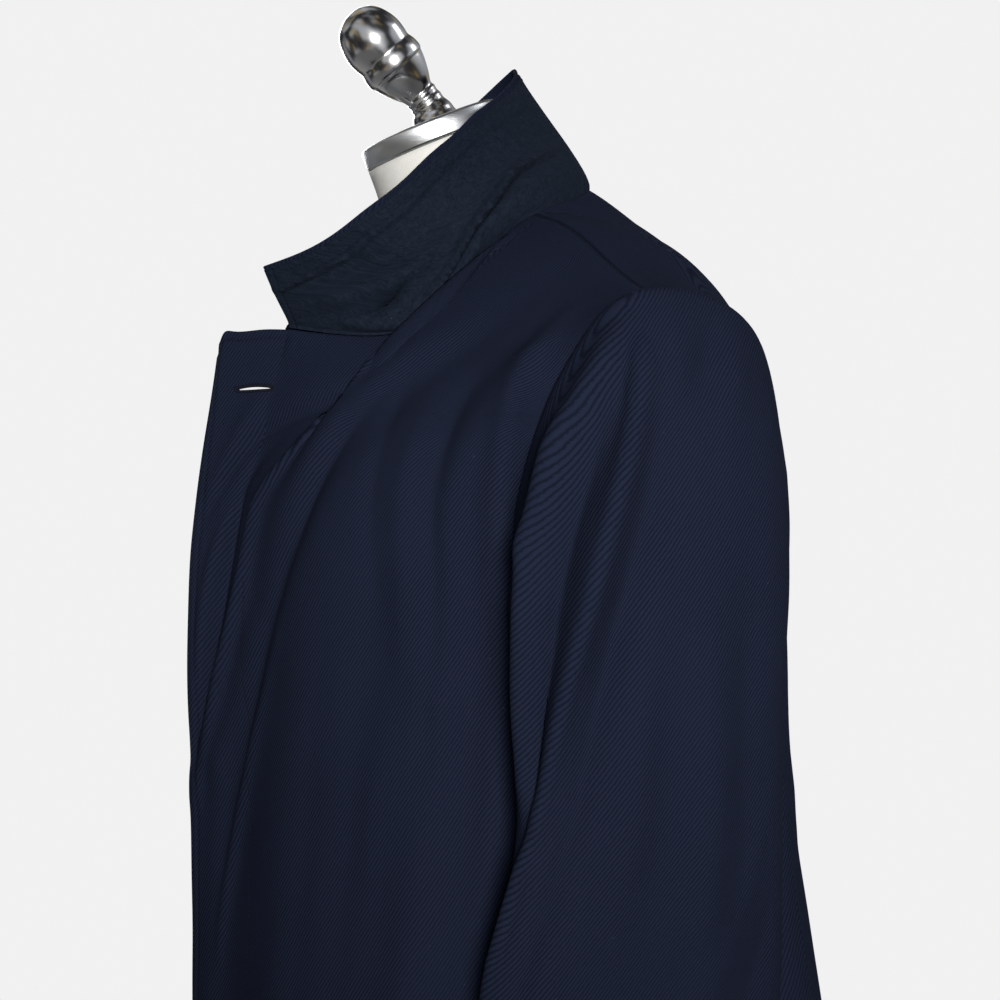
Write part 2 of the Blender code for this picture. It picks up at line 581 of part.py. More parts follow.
# the top buttonhole, cut right through the left front
hole = section(1, [BUTTONHOLE["g"] - 0.02, BUTTONHOLE["g"] + 0.02], [1330.0, 1330.0])
mid_up = upper(1, np.array([[0.70, 0.735, 0.77, 0.80, 0.83, 0.86, 0.89, 0.92, 0.95]]), np.linspace(0, 1, 40)[:, None])
row = np.argmin(np.abs(mid_up[:, 5, 2] - BUTTONHOLE["z"]))
pa, pb = mid_up[row, 3], mid_up[row, 7]
HOLE_MID = (pa + pb) / 2
HOLE_DIR = (pb - pa) / np.linalg.norm(pb - pa)
HOLE_DIR[2] = 0
HOLE_DIR /= np.linalg.norm(HOLE_DIR)
cut = bpy.data.meshes.new("slit")
bm = bmesh.new()
bmesh.ops.create_cube(bm, size=1.0)
bmesh.ops.scale(bm, vec=Vector((BUTTONHOLE["length"] * 0.001, 0.060, BUTTONHOLE["open"] * 0.001)), verts=bm.verts[:])
bm.to_mesh(cut)
bm.free()
cutter = bpy.data.objects.new("slit", cut)
CUTTERS.objects.link(cutter)
cutter.location = Vector(HOLE_MID * 0.001)
cutter.location.z = BUTTONHOLE["z"] * 0.001
cutter.rotation_euler = (0, 0, math.atan2(HOLE_DIR[1], HOLE_DIR[0]))
cutter.hide_render = True
cutter.display_type = "WIRE"
mod = BODY.objects["coat_front_left"].modifiers.new("buttonhole", "BOOLEAN")
mod.operation = "DIFFERENCE"
mod.solver = "EXACT"
mod.object = cutter

# ---- sleeves
SL_UP, SL_LOW = 6, 8


def sleeve_grid(side, at):
    v = np.concatenate([np.linspace(0, 1, SL_UP), 1 + np.linspace(0, 1, SL_LOW)[1:]])
    p = sleeve(side, at[None, :], v[:, None])
    h = sleeve_folds(np.repeat(at[None] % 1.0, len(v), 0), p[..., 2])
    fade = smooth(0.0, 0.6, v)[:, None]
    q, n = push(p, h * fade * (1 if side > 0 else -1))
    return q


for side, word in ((1, "left"), (-1, "right")):
    a = sleeve_grid(side, np.linspace(SLEEVE_BACK_SEAM - 1, SLEEVE_IN_SEAM, 17))
    b = sleeve_grid(side, np.linspace(SLEEVE_IN_SEAM, SLEEVE_BACK_SEAM, 8))
    shell("sleeve_%s_top" % word, [inset_cols(a, HALF_SEAM, HALF_SEAM)], "wool_twill", flip=side > 0)
    shell("sleeve_%s_under" % word, [inset_cols(b, HALF_SEAM, HALF_SEAM)], "wool_twill", flip=side > 0)

# ---- collar: the felt undercollar outside, the self cloth inside and round the edge
s_at = np.concatenate([np.linspace(1, 0, 12), np.linspace(0, 1, 12)[1:]])
s_side = np.array([-1] * 11 + [1] * 12)


def collar_grid(v):
    cols = [collar(int(k), np.full(len(v), s), v) for s, k in zip(s_at, s_side)]
    return np.stack(cols, 1)


COLLAR_V = np.array([0.0, 0.22, 0.48, 0.74, 0.955])
felt = push(collar_grid(COLLAR_V), np.full((len(COLLAR_V), len(s_at)), 0.0))
felt = felt[0] + felt[1] * 0.32 * (1 if felt[1][2, 11, 1] > 0 else -1)
self_cloth = collar_grid(np.append(COLLAR_V, 1.0))
shell("undercollar", [felt], "undercollar_felt", thick=1.6, offset=1.0, flip=True)
o = shell("top_collar", [self_cloth], "wool_twill", thick=1.6, offset=-1.0, flip=True)
o.data.transform(Matrix.Identity(4))

# ---- buttons on the right front
BUTTON_R, BUTTON_T, BUTTON_EDGE = 11.5, 4.0, 48.0
BUTTON_ROWS = [("button_1", 1362), ("button_2", 1250), ("button_3", 1138), ("button_4", 1026)]
profile = [(BUTTON_R - 1.2, 0.0), (BUTTON_R, 1.0), (BUTTON_R, 2.6), (BUTTON_R - 1.0, BUTTON_T), (BUTTON_R - 3.0, BUTTON_T - 0.2), (BUTTON_R - 4.0, BUTTON_T - 1.2), (0.0, BUTTON_T - 1.2)]


def spun(name, prof, steps, mat, coll=None):
    """A turned solid about Z: the profile runs in +X, top to bottom, and both ends lie on the axis."""
    me = bpy.data.meshes.new(name)
    me.from_pydata([(r * 0.001, 0.0, z * 0.001) for r, z in prof], [(i, i + 1) for i in range(len(prof) - 1)], [])
    o = bpy.data.objects.new(name, me)
    me.materials.append(MATS[mat])
    (coll or BODY).objects.link(o)
    m = o.modifiers.new("turn", "SCREW")
    m.steps = m.render_steps = steps
    m.use_merge_vertices = True
    m.merge_threshold = 0.00005
    m.use_smooth_shade = True
    return o


for name, zb in BUTTON_ROWS:
    if zb > CHEST_F_Z:
        grid = upper(-1, np.array([[0.78, 0.80, 0.82]]), np.linspace(0, 1, 60)[:, None])
        r = np.argmin(np.abs(grid[:, 1, 2] - zb))
        c0, e0, w0 = grid[r, 1], grid[r, 2] - grid[r, 0], grid[min(r + 1, 59), 1] - grid[r - 1, 1]
    else:
        q = section(-1, [0.885, 0.895, 0.905], [zb] * 3)
        q2 = section(-1, [0.895, 0.895], [zb + 5.0, zb - 5.0])
        c0, e0, w0 = q[1], q[2] - q[0], q2[1] - q2[0]
    n = np.cross(e0, w0)
    n /= np.linalg.norm(n)
    if n[1] > 0:
        n = -n
    o = spun(name, [(0.0, BUTTON_T - 1.2)] + profile[::-1][1:] + [(0.0, 0.0)], 20, "horn_button")
    q = Vector(n).to_track_quat("Z", "Y")
    o.rotation_mode = "QUATERNION"
    o.rotation_quaternion = q
    o.location = Vector((c0 + n * (WALL + 1.0)) * 0.001)

# ---- dress form
RING = 28


def ring_points(row, n=RING):
    z, cy, hw, df, db, lean = row
    a = np.linspace(0, 2 * np.pi, n, endpoint=False)
    x = hw * np.sign(np.cos(a)) * np.abs(np.cos(a)) ** 0.85
    y = np.where(np.sin(a) > 0, db, df) * np.sign(np.sin(a)) * np.abs(np.sin(a)) ** 0.92
    t = math.radians(lean)
    return np.stack([x, cy + y * math.cos(t), z + y * math.sin(t)], 1)


rows = np.array(FORM_ROWS, float)
fine = np.concatenate([np.linspace(rows[i, 0], rows[i + 1, 0], 2)[:-1] for i in range(len(rows) - 1)] + [[rows[-1, 0]]])
body_rows = np.concatenate([fine[:, None], basis(rows[:, 0], fine) @ rows[:, 1:]], 1)
verts, faces = [], []
for r in body_rows:
    verts += [tuple(q) for q in ring_points(r)]
nr = len(body_rows)
for i in range(nr - 1):
    for j in range(RING):
        a, b = i * RING + j, i * RING + (j + 1) % RING
        faces.append((a, b, b + RING, a + RING))
faces.append(tuple(range(RING))[::-1])
faces.append(tuple((nr - 1) * RING + j for j in range(RING)))
obj_from("form_torso", verts, faces, "form_linen")

lean = math.radians(CAP_LEAN)
FINIAL_LEAN = 39.0
cap = spun("form_neck_cap", [(0, 15.5), (20, 15.5), (50.5, 15.5), (53, 15.0), (53.6, 14.2), (53.6, 0.9), (53.0, 0.0), (0, 0)], 32, "brushed_ring")
cap.location = Vector(CAP_CENTRE) * 0.001
cap.rotation_euler = (lean, 0, 0)
FINIAL = [(0, 98), (8, 97), (16, 92.5), (22, 83.5), (24.2, 74), (22.6, 64.5), (22.2, 61), (23.8, 55), (23.8, 50), (20.8, 41), (16, 31.5),
          (11.5, 26), (9.8, 22.5), (10.6, 18), (9.6, 13.5), (12.6, 9), (12.9, 6), (15.5, 3), (16, 0), (0, 0)]
FINIAL_STEPS = 24


def bent_axis(d):
    """Point and lean of the finial's axis at the distance d along it: the stem is bent between the flange and the bulb."""
    n = 200
    t = (np.arange(n) + 0.5) * d / n
    ang = lean + math.radians(FINIAL_LEAN - CAP_LEAN) * smooth(0.0, 26.0, np.append(t, d))
    return -np.sin(ang[:-1]).sum() * d / n, np.cos(ang[:-1]).sum() * d / n, ang[-1]


cap_top = Vector(CAP_CENTRE) + Vector((0, -math.sin(lean), math.cos(lean))) * 15.8 + Vector((0, math.cos(lean), math.sin(lean))) * 2.0
verts, faces = [], []
for r, d in FINIAL[1:-1][::-1]:
    y, z, ang = bent_axis(d)
    for k in range(FINIAL_STEPS):
        a = 2 * math.pi * k / FINIAL_STEPS
        verts.append((r * math.cos(a), cap_top.y + y + r * math.sin(a) * math.cos(ang), cap_top.z + z + r * math.sin(a) * math.sin(ang)))
for i in range(len(FINIAL) - 3):
    for k in range(FINIAL_STEPS):
        a, b = i * FINIAL_STEPS + k, i * FINIAL_STEPS + (k + 1) % FINIAL_STEPS
        faces.append((a, b, b + FINIAL_STEPS, a + FINIAL_STEPS))
faces.append(tuple(range(FINIAL_STEPS))[::-1])
last = (len(FINIAL) - 3) * FINIAL_STEPS
y, z, ang = bent_axis(FINIAL[0][1])
verts.append((0, cap_top.y + y, cap_top.z + z))
for k in range(FINIAL_STEPS):
    faces.append((last + k, last + (k + 1) % FINIAL_STEPS, len(verts) - 1))
obj_from("form_finial", verts, faces, "polished_nickel")

# ---- stand
POLE_R, BASE_R = 17.0, 170.0
spun("stand_base", [(0, 30), (24, 30), (27, 27), (60, 22), (140, 13), (165, 9), (BASE_R, 5), (BASE_R, 0), (0, 0)], 48, "painted_stand")
spun("stand_pole", [(0, 791.5), (34, 791.5), (36, 789.5), (36, 782), (33, 780), (POLE_R + 3, 776), (POLE_R, 770), (POLE_R, 30.3), (0, 30.3)], 24, "painted_stand")
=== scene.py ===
"""The looks of the wool overcoat on its dress form: cloth shells, stitches, materials, light and camera.

Metres, +Z up; the tables are in millimetres. The wearer faces -Y and the wearer's left is +X."""

import json
import math

import bpy
import numpy as np
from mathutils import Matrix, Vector

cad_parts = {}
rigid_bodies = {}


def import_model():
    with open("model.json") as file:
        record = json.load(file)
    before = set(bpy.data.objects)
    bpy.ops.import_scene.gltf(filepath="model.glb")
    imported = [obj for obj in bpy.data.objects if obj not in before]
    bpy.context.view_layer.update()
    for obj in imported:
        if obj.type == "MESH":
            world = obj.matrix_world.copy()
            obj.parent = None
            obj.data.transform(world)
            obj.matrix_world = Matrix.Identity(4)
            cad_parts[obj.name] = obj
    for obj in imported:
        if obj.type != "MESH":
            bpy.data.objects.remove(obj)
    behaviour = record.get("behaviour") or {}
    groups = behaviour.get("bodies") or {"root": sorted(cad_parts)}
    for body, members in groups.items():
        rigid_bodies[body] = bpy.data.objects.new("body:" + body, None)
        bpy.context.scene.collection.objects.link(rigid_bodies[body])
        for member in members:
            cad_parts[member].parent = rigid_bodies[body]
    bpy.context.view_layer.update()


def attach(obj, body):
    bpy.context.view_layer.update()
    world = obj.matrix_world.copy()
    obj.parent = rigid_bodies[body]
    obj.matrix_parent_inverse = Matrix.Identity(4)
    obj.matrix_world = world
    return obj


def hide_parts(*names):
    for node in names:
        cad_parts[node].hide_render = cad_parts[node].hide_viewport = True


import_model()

# ---------------------------------------------------------------- sizes (millimetres)
WALL = 2.0              # cloth thickness
SEAM = 0.3              # gap between neighbouring pieces at a seam
HEM_Z = 480.0           # height of the coat's hem above the floor
CHEST_F_Z = 1290.0      # height where the front panel leaves the armhole
CHEST_B_Z = 1318.0      # height where the back panel leaves the armhole
UNDERARM_Z = 1242.0     # lowest point of the armhole

# Plan landmarks round half of the coat, from centre back to the front edge.
LANDMARK_AT = {"cb": 0.0, "blade": 0.125, "bpitch": 0.26, "side": 0.37,
               "fpitch": 0.48, "chest": 0.63, "mid": 0.755, "cf": 0.88, "edge": 1.0}
NAMES = list(LANDMARK_AT)
G_AT = np.array([-LANDMARK_AT["blade"]] + [LANDMARK_AT[n] for n in NAMES])   # the other blade first, so the back is smooth

# The wearer's left half: a row per horizontal section, x and y of each landmark.
#            z     cb          blade       bpitch      side       fpitch      chest        mid          cf          edge
LEFT_ROWS = [
    (480,  (0, 232), (128, 240), (227, 194), (252, 84), (246, -46), (196, -150), (128, -192), (64, -204), (6, -214)),
    (640,  (0, 218), (122, 226), (221, 190), (238, 82), (232, -42), (184, -142), (120, -184), (58, -196), (5, -208)),
    (800,  (0, 204), (118, 212), (216, 184), (224, 79), (219, -38), (174, -134), (112, -175), (52, -188), (5, -203)),
    (950,  (0, 188), (116, 196), (212, 173), (211, 76), (206, -34), (164, -124), (106, -165), (47, -180), (5, -200)),
    (1050, (0, 177), (114, 182), (206, 160), (204, 74), (199, -32), (159, -118), (103, -160), (44, -176), (6, -201)),
    (1150, (0, 171), (112, 175), (203, 151), (199, 72), (194, -30), (155, -112), (100, -154), (42, -172), (7, -204)),
    (1230, (0, 172), (111, 176), (202, 149), (196, 71), (191, -28), (153, -107), (99, -149), (41, -170), (8, -204)),
    (1290, (0, 174), (110, 179), (203, 151), (196, 70), (190, -27), (151, -104), (98, -146), (41, -168), (9, -200)),
    (1330, (0, 172), (108, 179), (203, 151), (198, 70), (194, -22), (150, -98), (96, -140), (41, -164), (11, -195)),
]
# The wearer's right half: the same back, the front hangs further open and closer to the form.
#            z     fpitch        chest         mid           cf            edge
RIGHT_FRONT = [
    (480,  (-246, -46), (-200, -146), (-146, -184), (-92, -196), (-42, -202)),
    (640,  (-232, -42), (-190, -136), (-140, -172), (-90, -184), (-42, -192)),
    (800,  (-219, -38), (-180, -126), (-134, -160), (-86, -172), (-40, -182)),
    (950,  (-206, -33), (-170, -114), (-126, -147), (-80, -160), (-36, -172)),
    (1050, (-199, -30), (-165, -107), (-122, -139), (-78, -152), (-34, -164)),
    (1150, (-194, -27), (-161, -100), (-120, -131), (-77, -144), (-34, -156)),
    (1230, (-191, -24), (-158, -95), (-118, -125), (-76, -137), (-34, -147)),
    (1290, (-190, -22), (-157, -91), (-117, -120), (-76, -131), (-34, -141)),
    (1330, (-194, -18), (-157, -86), (-116, -115), (-75, -126), (-34, -134)),
]

# The armhole, seen as a loop: 0 at the back pitch, 0.25 at the shoulder point, 0.5 at the front pitch, 0.75 underarm.
ARMHOLE = [
    #  at      x    y     z
    (0.000, 203, 157, 1318), (0.055, 206, 147, 1358), (0.105, 210, 135, 1390), (0.150, 215, 118, 1412),
    (0.200, 220, 86, 1427), (0.250, 225, 47, 1429), (0.300, 222, 20, 1417), (0.350, 215, 1, 1390),
    (0.420, 205, -15, 1352), (0.500, 190, -27, 1290), (0.580, 190.5, -14, 1262), (0.660, 193, 22, 1246),
    (0.750, 196, 70, 1242), (0.840, 199, 118, 1254), (0.930, 202, 148, 1284), (1.000, 203, 157, 1318),
]

# Neck seam of the left half, from the centre back to the centre front.
NECK_LEFT = [
    #  at      x    y     z
    (0.000, 0, 97, 1533), (0.130, 25, 89, 1529), (0.260, 49, 68, 1518), (0.400, 75, 28, 1500),
    (0.510, 84, -4, 1477), (0.610, 89, -32, 1449), (0.700, 88, -60, 1421), (0.790, 80, -82, 1411),
    (0.890, 62, -109, 1412), (1.000, 35, -138, 1418),
]
NECK_RIGHT = [
    (0.000, 0, 97, 1533), (0.130, -25, 89, 1529), (0.260, -49, 68, 1518), (0.400, -75, 28, 1500),
    (0.510, -85, -4, 1475), (0.610, -92, -32, 1444), (0.700, -95, -58, 1417), (0.790, -94, -79, 1405),
    (0.890, -87, -99, 1402), (1.000, -72, -116, 1404),
]
NECK_POINT_AT = 0.40
# Top edge of each front, from the neck seam's end to the rounded corner.
TOP_LEFT = [(0.0, 35, -138, 1418), (0.4, 24, -156, 1418.5), (0.8, 13, -174, 1418), (0.93, 10, -180, 1416), (1.0, 9, -183, 1409)]
TOP_RIGHT = [(0.0, -72, -116, 1404), (0.4, -57, -121, 1404.5), (0.8, -42, -125, 1404), (0.93, -37, -126.5, 1402), (1.0, -35, -127, 1395)]

# Where along the front panel's top the shoulder seam and the neck seam end, as shares of its width.
NECK_C, CF_C = 0.56, 0.80
BACK_NECK_C = 0.55


def basis(knots, x):
    """Natural cubic spline weights: a row per value of x, a column per knot."""
    k = np.asarray(knots, float)
    x = np.clip(np.asarray(x, float), k[0], k[-1])
    n = len(k)
    h = np.diff(k)
    a = np.zeros((n, n))
    r = np.zeros((n, n))
    a[0, 0] = a[-1, -1] = 1
    for i in range(1, n - 1):
        a[i, i - 1], a[i, i], a[i, i + 1] = h[i - 1], 2 * (h[i - 1] + h[i]), h[i]
        r[i, i - 1], r[i, i], r[i, i + 1] = 6 / h[i - 1], -6 / h[i - 1] - 6 / h[i], 6 / h[i]
    m = np.linalg.solve(a, r)
    j = np.clip(np.searchsorted(k, x, side="right") - 1, 0, n - 2)
    d, e = k[j + 1] - x, x - k[j]
    hj = h[j]
    w = m[j] * ((d**3 / hj - hj * d) / 6)[:, None] + m[j + 1] * ((e**3 / hj - hj * e) / 6)[:, None]
    w[np.arange(len(x)), j] += d / hj
    w[np.arange(len(x)), j + 1] += e / hj
    return w


def through(table, x):
    """Points at the values x along a curve given as rows of (at, x, y, z)."""
    t = np.array(table, float)
    return basis(t[:, 0], np.ravel(x)) @ t[:, 1:]


def smooth(a, b, x):
    t = np.clip((np.asarray(x, float) - a) / (b - a), 0, 1)
    return t * t * (3 - 2 * t)


def half_table(side):
    rows = []
    for i, row in enumerate(LEFT_ROWS):
        pts = [(side * p[0], p[1]) for p in row[1:]]
        if side < 0:
            pts[4:] = [tuple(p) for p in RIGHT_FRONT[i][1:]]
        rows.append([(-pts[1][0], pts[1][1])] + pts)
    return np.array([r[0] for r in LEFT_ROWS], float), np.array(rows, float)


TABLES = {1: half_table(1), -1: half_table(-1)}


def section(side, g, z):
    """The coat's surface below the chest: g from centre back (0) to the front edge (1), at height z."""
    zs, pts = TABLES[side]
    g, z = np.broadcast_arrays(np.asarray(g, float), np.asarray(z, float))
    bz = basis(zs, z.ravel())
    bg = basis(G_AT, g.ravel())
    xy = np.einsum("ir,ik,rkd->id", bz, bg, pts)
    out = np.concatenate([xy, z.ravel()[:, None]], 1)
    return out.reshape(g.shape + (3,))


def armhole(side, at):
    """The armhole's loop: the table over the shoulder, and the body's own surface under the arm."""
    at = np.ravel(at).astype(float) % 1.0
    p = through(ARMHOLE, at)
    p[:, 0] *= side
    front = section(side, [LANDMARK_AT["fpitch"]], [CHEST_F_Z])[0] - through(ARMHOLE, [0.5])[0] * [side, 1, 1]
    back = section(side, [LANDMARK_AT["bpitch"]], [CHEST_B_Z])[0] - through(ARMHOLE, [0.0])[0] * [side, 1, 1]
    p += smooth(0.28, 0.5, at)[:, None] * front + (1 - smooth(0.0, 0.2, at))[:, None] * back
    for lo, word, pitch in ((0.5, "front", "fpitch"), (0.75, "back", "bpitch")):
        k = (at > lo) & (at <= lo + 0.25)
        if k.any():
            turn = (at[k] - lo) / 0.25 * np.pi / 2
            t = np.cos(turn) if word == "front" else np.sin(turn)
            g = LANDMARK_AT["side"] + (LANDMARK_AT[pitch] - LANDMARK_AT["side"]) * t
            p[k] = section(side, g, armhole_low_z(word, t))
    return p


def neck(side, at):
    return through(NECK_LEFT if side > 0 else NECK_RIGHT, at)


def shoulder(side, t):
    """Shoulder seam from the shoulder point (0) to the neck point (1), slightly hollow."""
    a = armhole(side, [0.25])[0]
    b = neck(side, [NECK_POINT_AT])[0]
    t = np.ravel(t)[:, None]
    p = a + (b - a) * t
    p[:, 2] += (6 * np.sin(np.pi * t) - 5 * np.sin(2 * np.pi * t))[:, 0] * 0.6
    p[:, 1] += 3 * np.sin(np.pi * t)[:, 0]
    return p


def front_top(side, c):
    c = np.ravel(c)
    out = np.zeros((len(c), 3))
    a = c <= NECK_C
    out[a] = shoulder(side, c[a] / NECK_C)
    b = (c > NECK_C) & (c <= CF_C)
    out[b] = neck(side, NECK_POINT_AT + (1 - NECK_POINT_AT) * (c[b] - NECK_C) / (CF_C - NECK_C))
    d = c > CF_C
    out[d] = through(TOP_LEFT if side > 0 else TOP_RIGHT, (c[d] - CF_C) / (1 - CF_C))
    return out


def back_top(side, c):
    """Top of the back panel: c = 0 at the shoulder point, 1 at the centre back."""
    c = np.ravel(c)
    out = np.zeros((len(c), 3))
    a = c <= BACK_NECK_C
    out[a] = shoulder(side, c[a] / BACK_NECK_C)
    b = ~a
    out[b] = neck(side, NECK_POINT_AT * (1 - (c[b] - BACK_NECK_C) / (1 - BACK_NECK_C)))
    return out


def hermite(p0, p1, m0, m1, v):
    v = v[..., None]
    return ((2 * v**3 - 3 * v**2 + 1) * p0 + (v**3 - 2 * v**2 + v) * m0
            + (-2 * v**3 + 3 * v**2) * p1 + (v**3 - v**2) * m1)


# Direction in which each panel leaves its top edge: share of the width, x, y, z.
FRONT_LEAVE = [(0.00, 0.00, -0.72, -0.70), (0.28, 0.03, -0.80, -0.62), (0.50, 0.20, -0.84, -0.50), (0.56, 0.50, -0.74, -0.45),
               (0.63, 0.78, -0.36, -0.50), (0.69, 0.74, -0.34, -0.58), (0.75, 0.35, -0.45, -0.82), (0.80, 0.05, -0.25, -0.96),
               (1.00, 0.00, -0.12, -0.99)]
BACK_LEAVE = [(0.00, 0.00, 0.96, -0.15), (0.28, 0.02, 0.98, 0.20), (0.55, 0.06, 0.99, 0.12),
              (0.80, 0.03, 0.88, -0.36), (1.00, 0.00, 0.82, -0.48)]


def upper(side, c, v, back=False):
    """The panel above the chest: c across (0 at the armhole), v down (0 at the top, 1 at the chest)."""
    shape = np.broadcast(c, v).shape
    c = np.broadcast_to(c, shape).ravel().astype(float)
    v = np.broadcast_to(v, shape).ravel().astype(float)
    z0 = CHEST_B_Z if back else CHEST_F_Z
    ga, gb = (LANDMARK_AT["bpitch"], 0.0) if back else (LANDMARK_AT["fpitch"], 1.0)
    g = ga + (gb - ga) * c
    top = back_top(side, c) if back else front_top(side, c)
    low = section(side, g, np.full(len(g), z0))
    dz = (section(side, g, np.full(len(g), z0 + 4.0)) - section(side, g, np.full(len(g), z0 - 4.0))) / 8.0
    drop = (top[:, 2] - z0)[:, None]
    leave = np.array(BACK_LEAVE if back else FRONT_LEAVE)
    lv = np.stack([np.interp(c, leave[:, 0], leave[:, i]) for i in (1, 2, 3)], 1)
    lv[:, 0] *= side
    lv /= np.linalg.norm(lv, axis=1)[:, None]
    pull = 1.35 if back else 1.15
    m0 = lv * np.linalg.norm(top - low, axis=1)[:, None] * pull
    m1 = -dz * drop * (1.45 if back else 1.1)
    p = hermite(top, low, m0, m1, v)
    # the armhole edge follows the armhole itself, and eases into the panel
    a0, a1 = (0.25, 0.0) if back else (0.25, 0.5)
    edge = armhole(side, a0 + (a1 - a0) * v)
    t0 = (back_top(side, [0.0]) if back else front_top(side, [0.0]))[0]
    l0 = section(side, [ga], [z0])[0]
    dz0 = ((section(side, [ga], [z0 + 4.0]) - section(side, [ga], [z0 - 4.0])) / 8.0)[0]
    lv0 = leave[0, 1:] * np.array([side, 1, 1])
    lv0 /= np.linalg.norm(lv0)
    m00 = np.repeat((lv0 * np.linalg.norm(t0 - l0) * pull)[None], len(v), 0)
    m10 = np.repeat((-dz0 * (t0[2] - z0) * (1.45 if back else 1.1))[None], len(v), 0)
    plain = hermite(np.repeat(t0[None], len(v), 0), np.repeat(l0[None], len(v), 0), m00, m10, v)
    ease = np.clip(1 - c / 0.42, 0, 1) ** 2
    p += (edge - plain) * ease[:, None]
    return p.reshape(shape + (3,))


def armhole_low_z(side_of_seam, t):
    """Height of the armhole's lower edge: t from the side seam (0) to the front or back pitch (1)."""
    top = CHEST_F_Z if side_of_seam == "front" else CHEST_B_Z
    t = np.clip(np.asarray(t, float), 0, 1)
    return top - (top - UNDERARM_Z) * np.sqrt(np.maximum(1 - t**2, 0))


# Soft folds of the cloth: where it runs over the panel (share across, height), how high and how wide, in mm.
#   panel   g0     z0     g1     z1    height  width
FOLDS = [
    ("left", 0.700, 1395, 0.930, 1120, 7.0, 26),
    ("left", 0.930, 1120, 0.965, 860, 5.0, 24),
    ("left", 0.640, 1400, 0.840, 1230, -6.0, 24),
    ("left", 0.800, 1395, 0.925, 1310, -4.0, 20),
    ("left", 0.545, 1385, 0.560, 1180, 8.0, 22),
    ("left", 0.560, 1180, 0.575, 820, 6.0, 24),
    ("left", 0.640, 1240, 0.660, 700, -7.0, 30),
    ("left", 0.750, 1180, 0.770, 520, 7.0, 34),
    ("right", 0.560, 1360, 0.600, 760, 7.0, 26),
    ("right", 0.690, 1330, 0.760, 640, -6.0, 30),
    ("left", 0.180, 1100, 0.165, 520, 9.0, 34),
    ("left", 0.070, 1180, 0.060, 500, -6.0, 34),
    ("right", 0.180, 1120, 0.170, 520, 9.0, 34),
    ("right", 0.080, 1200, 0.070, 500, -6.0, 34),
]


def line_bump(px, py, ax, ay, bx, by, width, height, fade):
    """Height of a soft fold along the line a-b, fading out at its ends."""
    dx, dy = bx - ax, by - ay
    n2 = dx * dx + dy * dy
    t = ((px - ax) * dx + (py - ay) * dy) / n2
    tc = np.clip(t, 0, 1)
    d = np.hypot(px - ax - tc * dx, py - ay - tc * dy)
    over = np.maximum(np.maximum(-t, t - 1), 0) * np.sqrt(n2)
    return height * np.exp(-(np.minimum(d, 1e6) / width) ** 2 * 1.6) * np.exp(-(over / fade) ** 2)


def body_folds(side, g, z):
    """Height of the folds over the body: g is turned into millimetres round the coat (about 640 a half)."""
    word = "left" if side > 0 else "right"
    out = np.zeros(np.broadcast(g, z).shape)
    for panel, g0, z0, g1, z1, high, wide in FOLDS:
        if panel == word:
            out = out + line_bump(g * 640, z, g0 * 640, z0, g1 * 640, z1, wide, high, 60.0)
    return out


def wall_normal(side, g, z):
    """Outward normal of the section surface, the same on both sides of a seam."""
    a = section(side, np.minimum(g + 0.004, 1.0), z) - section(side, np.maximum(g - 0.004, 0.0), z)
    b = section(side, g, z + 3.0) - section(side, g, z - 3.0)
    n = np.cross(a, b) * -side
    return n / np.linalg.norm(n, axis=-1)[..., None]


def body(side, g, z):
    """The coat below the chest with its folds."""
    return section(side, g, z) + wall_normal(side, g, z) * body_folds(side, g, z)[..., None]


def push(p, h):
    """A grid of points moved by h along the surface's outward normal."""
    du = np.gradient(p, axis=1)
    dv = np.gradient(p, axis=0)
    n = np.cross(du, dv)
    n /= np.maximum(np.linalg.norm(n, axis=2), 1e-9)[..., None]
    return p + n * h[..., None], n


# ---------------------------------------------------------------- sleeve
# A row per section down the sleeve: height, centre x, centre y, half thickness, half width (front to back).
SLEEVE_ROWS = [
    (1225, 249, 38, 39, 91), (1150, 249, 38, 36, 88), (1100, 250, 38, 33, 87), (1050, 251, 34, 29, 91),
    (1000, 253, 28, 26, 95), (950, 255, 22, 25, 94), (880, 258, 12, 25, 88), (800, 260, 2, 26, 79),
]
CUFF_Z = 800.0
SLEEVE_TOP_Z = 1225.0
SLEEVE_IN_SEAM, SLEEVE_BACK_SEAM = 0.60, 0.985   # where its two seams run, as shares round it
SLEEVE_FOLDS = [
    #  at0    z0     at1    z1    height  width
    (0.335, 1400, 0.440, 1270, 6.0, 17), (0.440, 1270, 0.470, 1120, 5.5, 18),
    (0.300, 1385, 0.345, 1250, 7.0, 18), (0.345, 1250, 0.440, 1080, 6.0, 18), (0.440, 1080, 0.500, 1000, 5.0, 18),
    (0.350, 1350, 0.405, 1230, -5.0, 13), (0.405, 1230, 0.430, 1130, -4.0, 14),
    (0.285, 1345, 0.315, 1200, -4.0, 20), (0.205, 1425, 0.215, 1370, -3.0, 12),
    (0.215, 1200, 0.225, 1050, 4.0, 22), (0.300, 1220, 0.310, 1090, 3.0, 20),
    (0.780, 1180, 0.800, 900, 4.0, 22), (0.130, 1150, 0.120, 880, -3.5, 20),
]


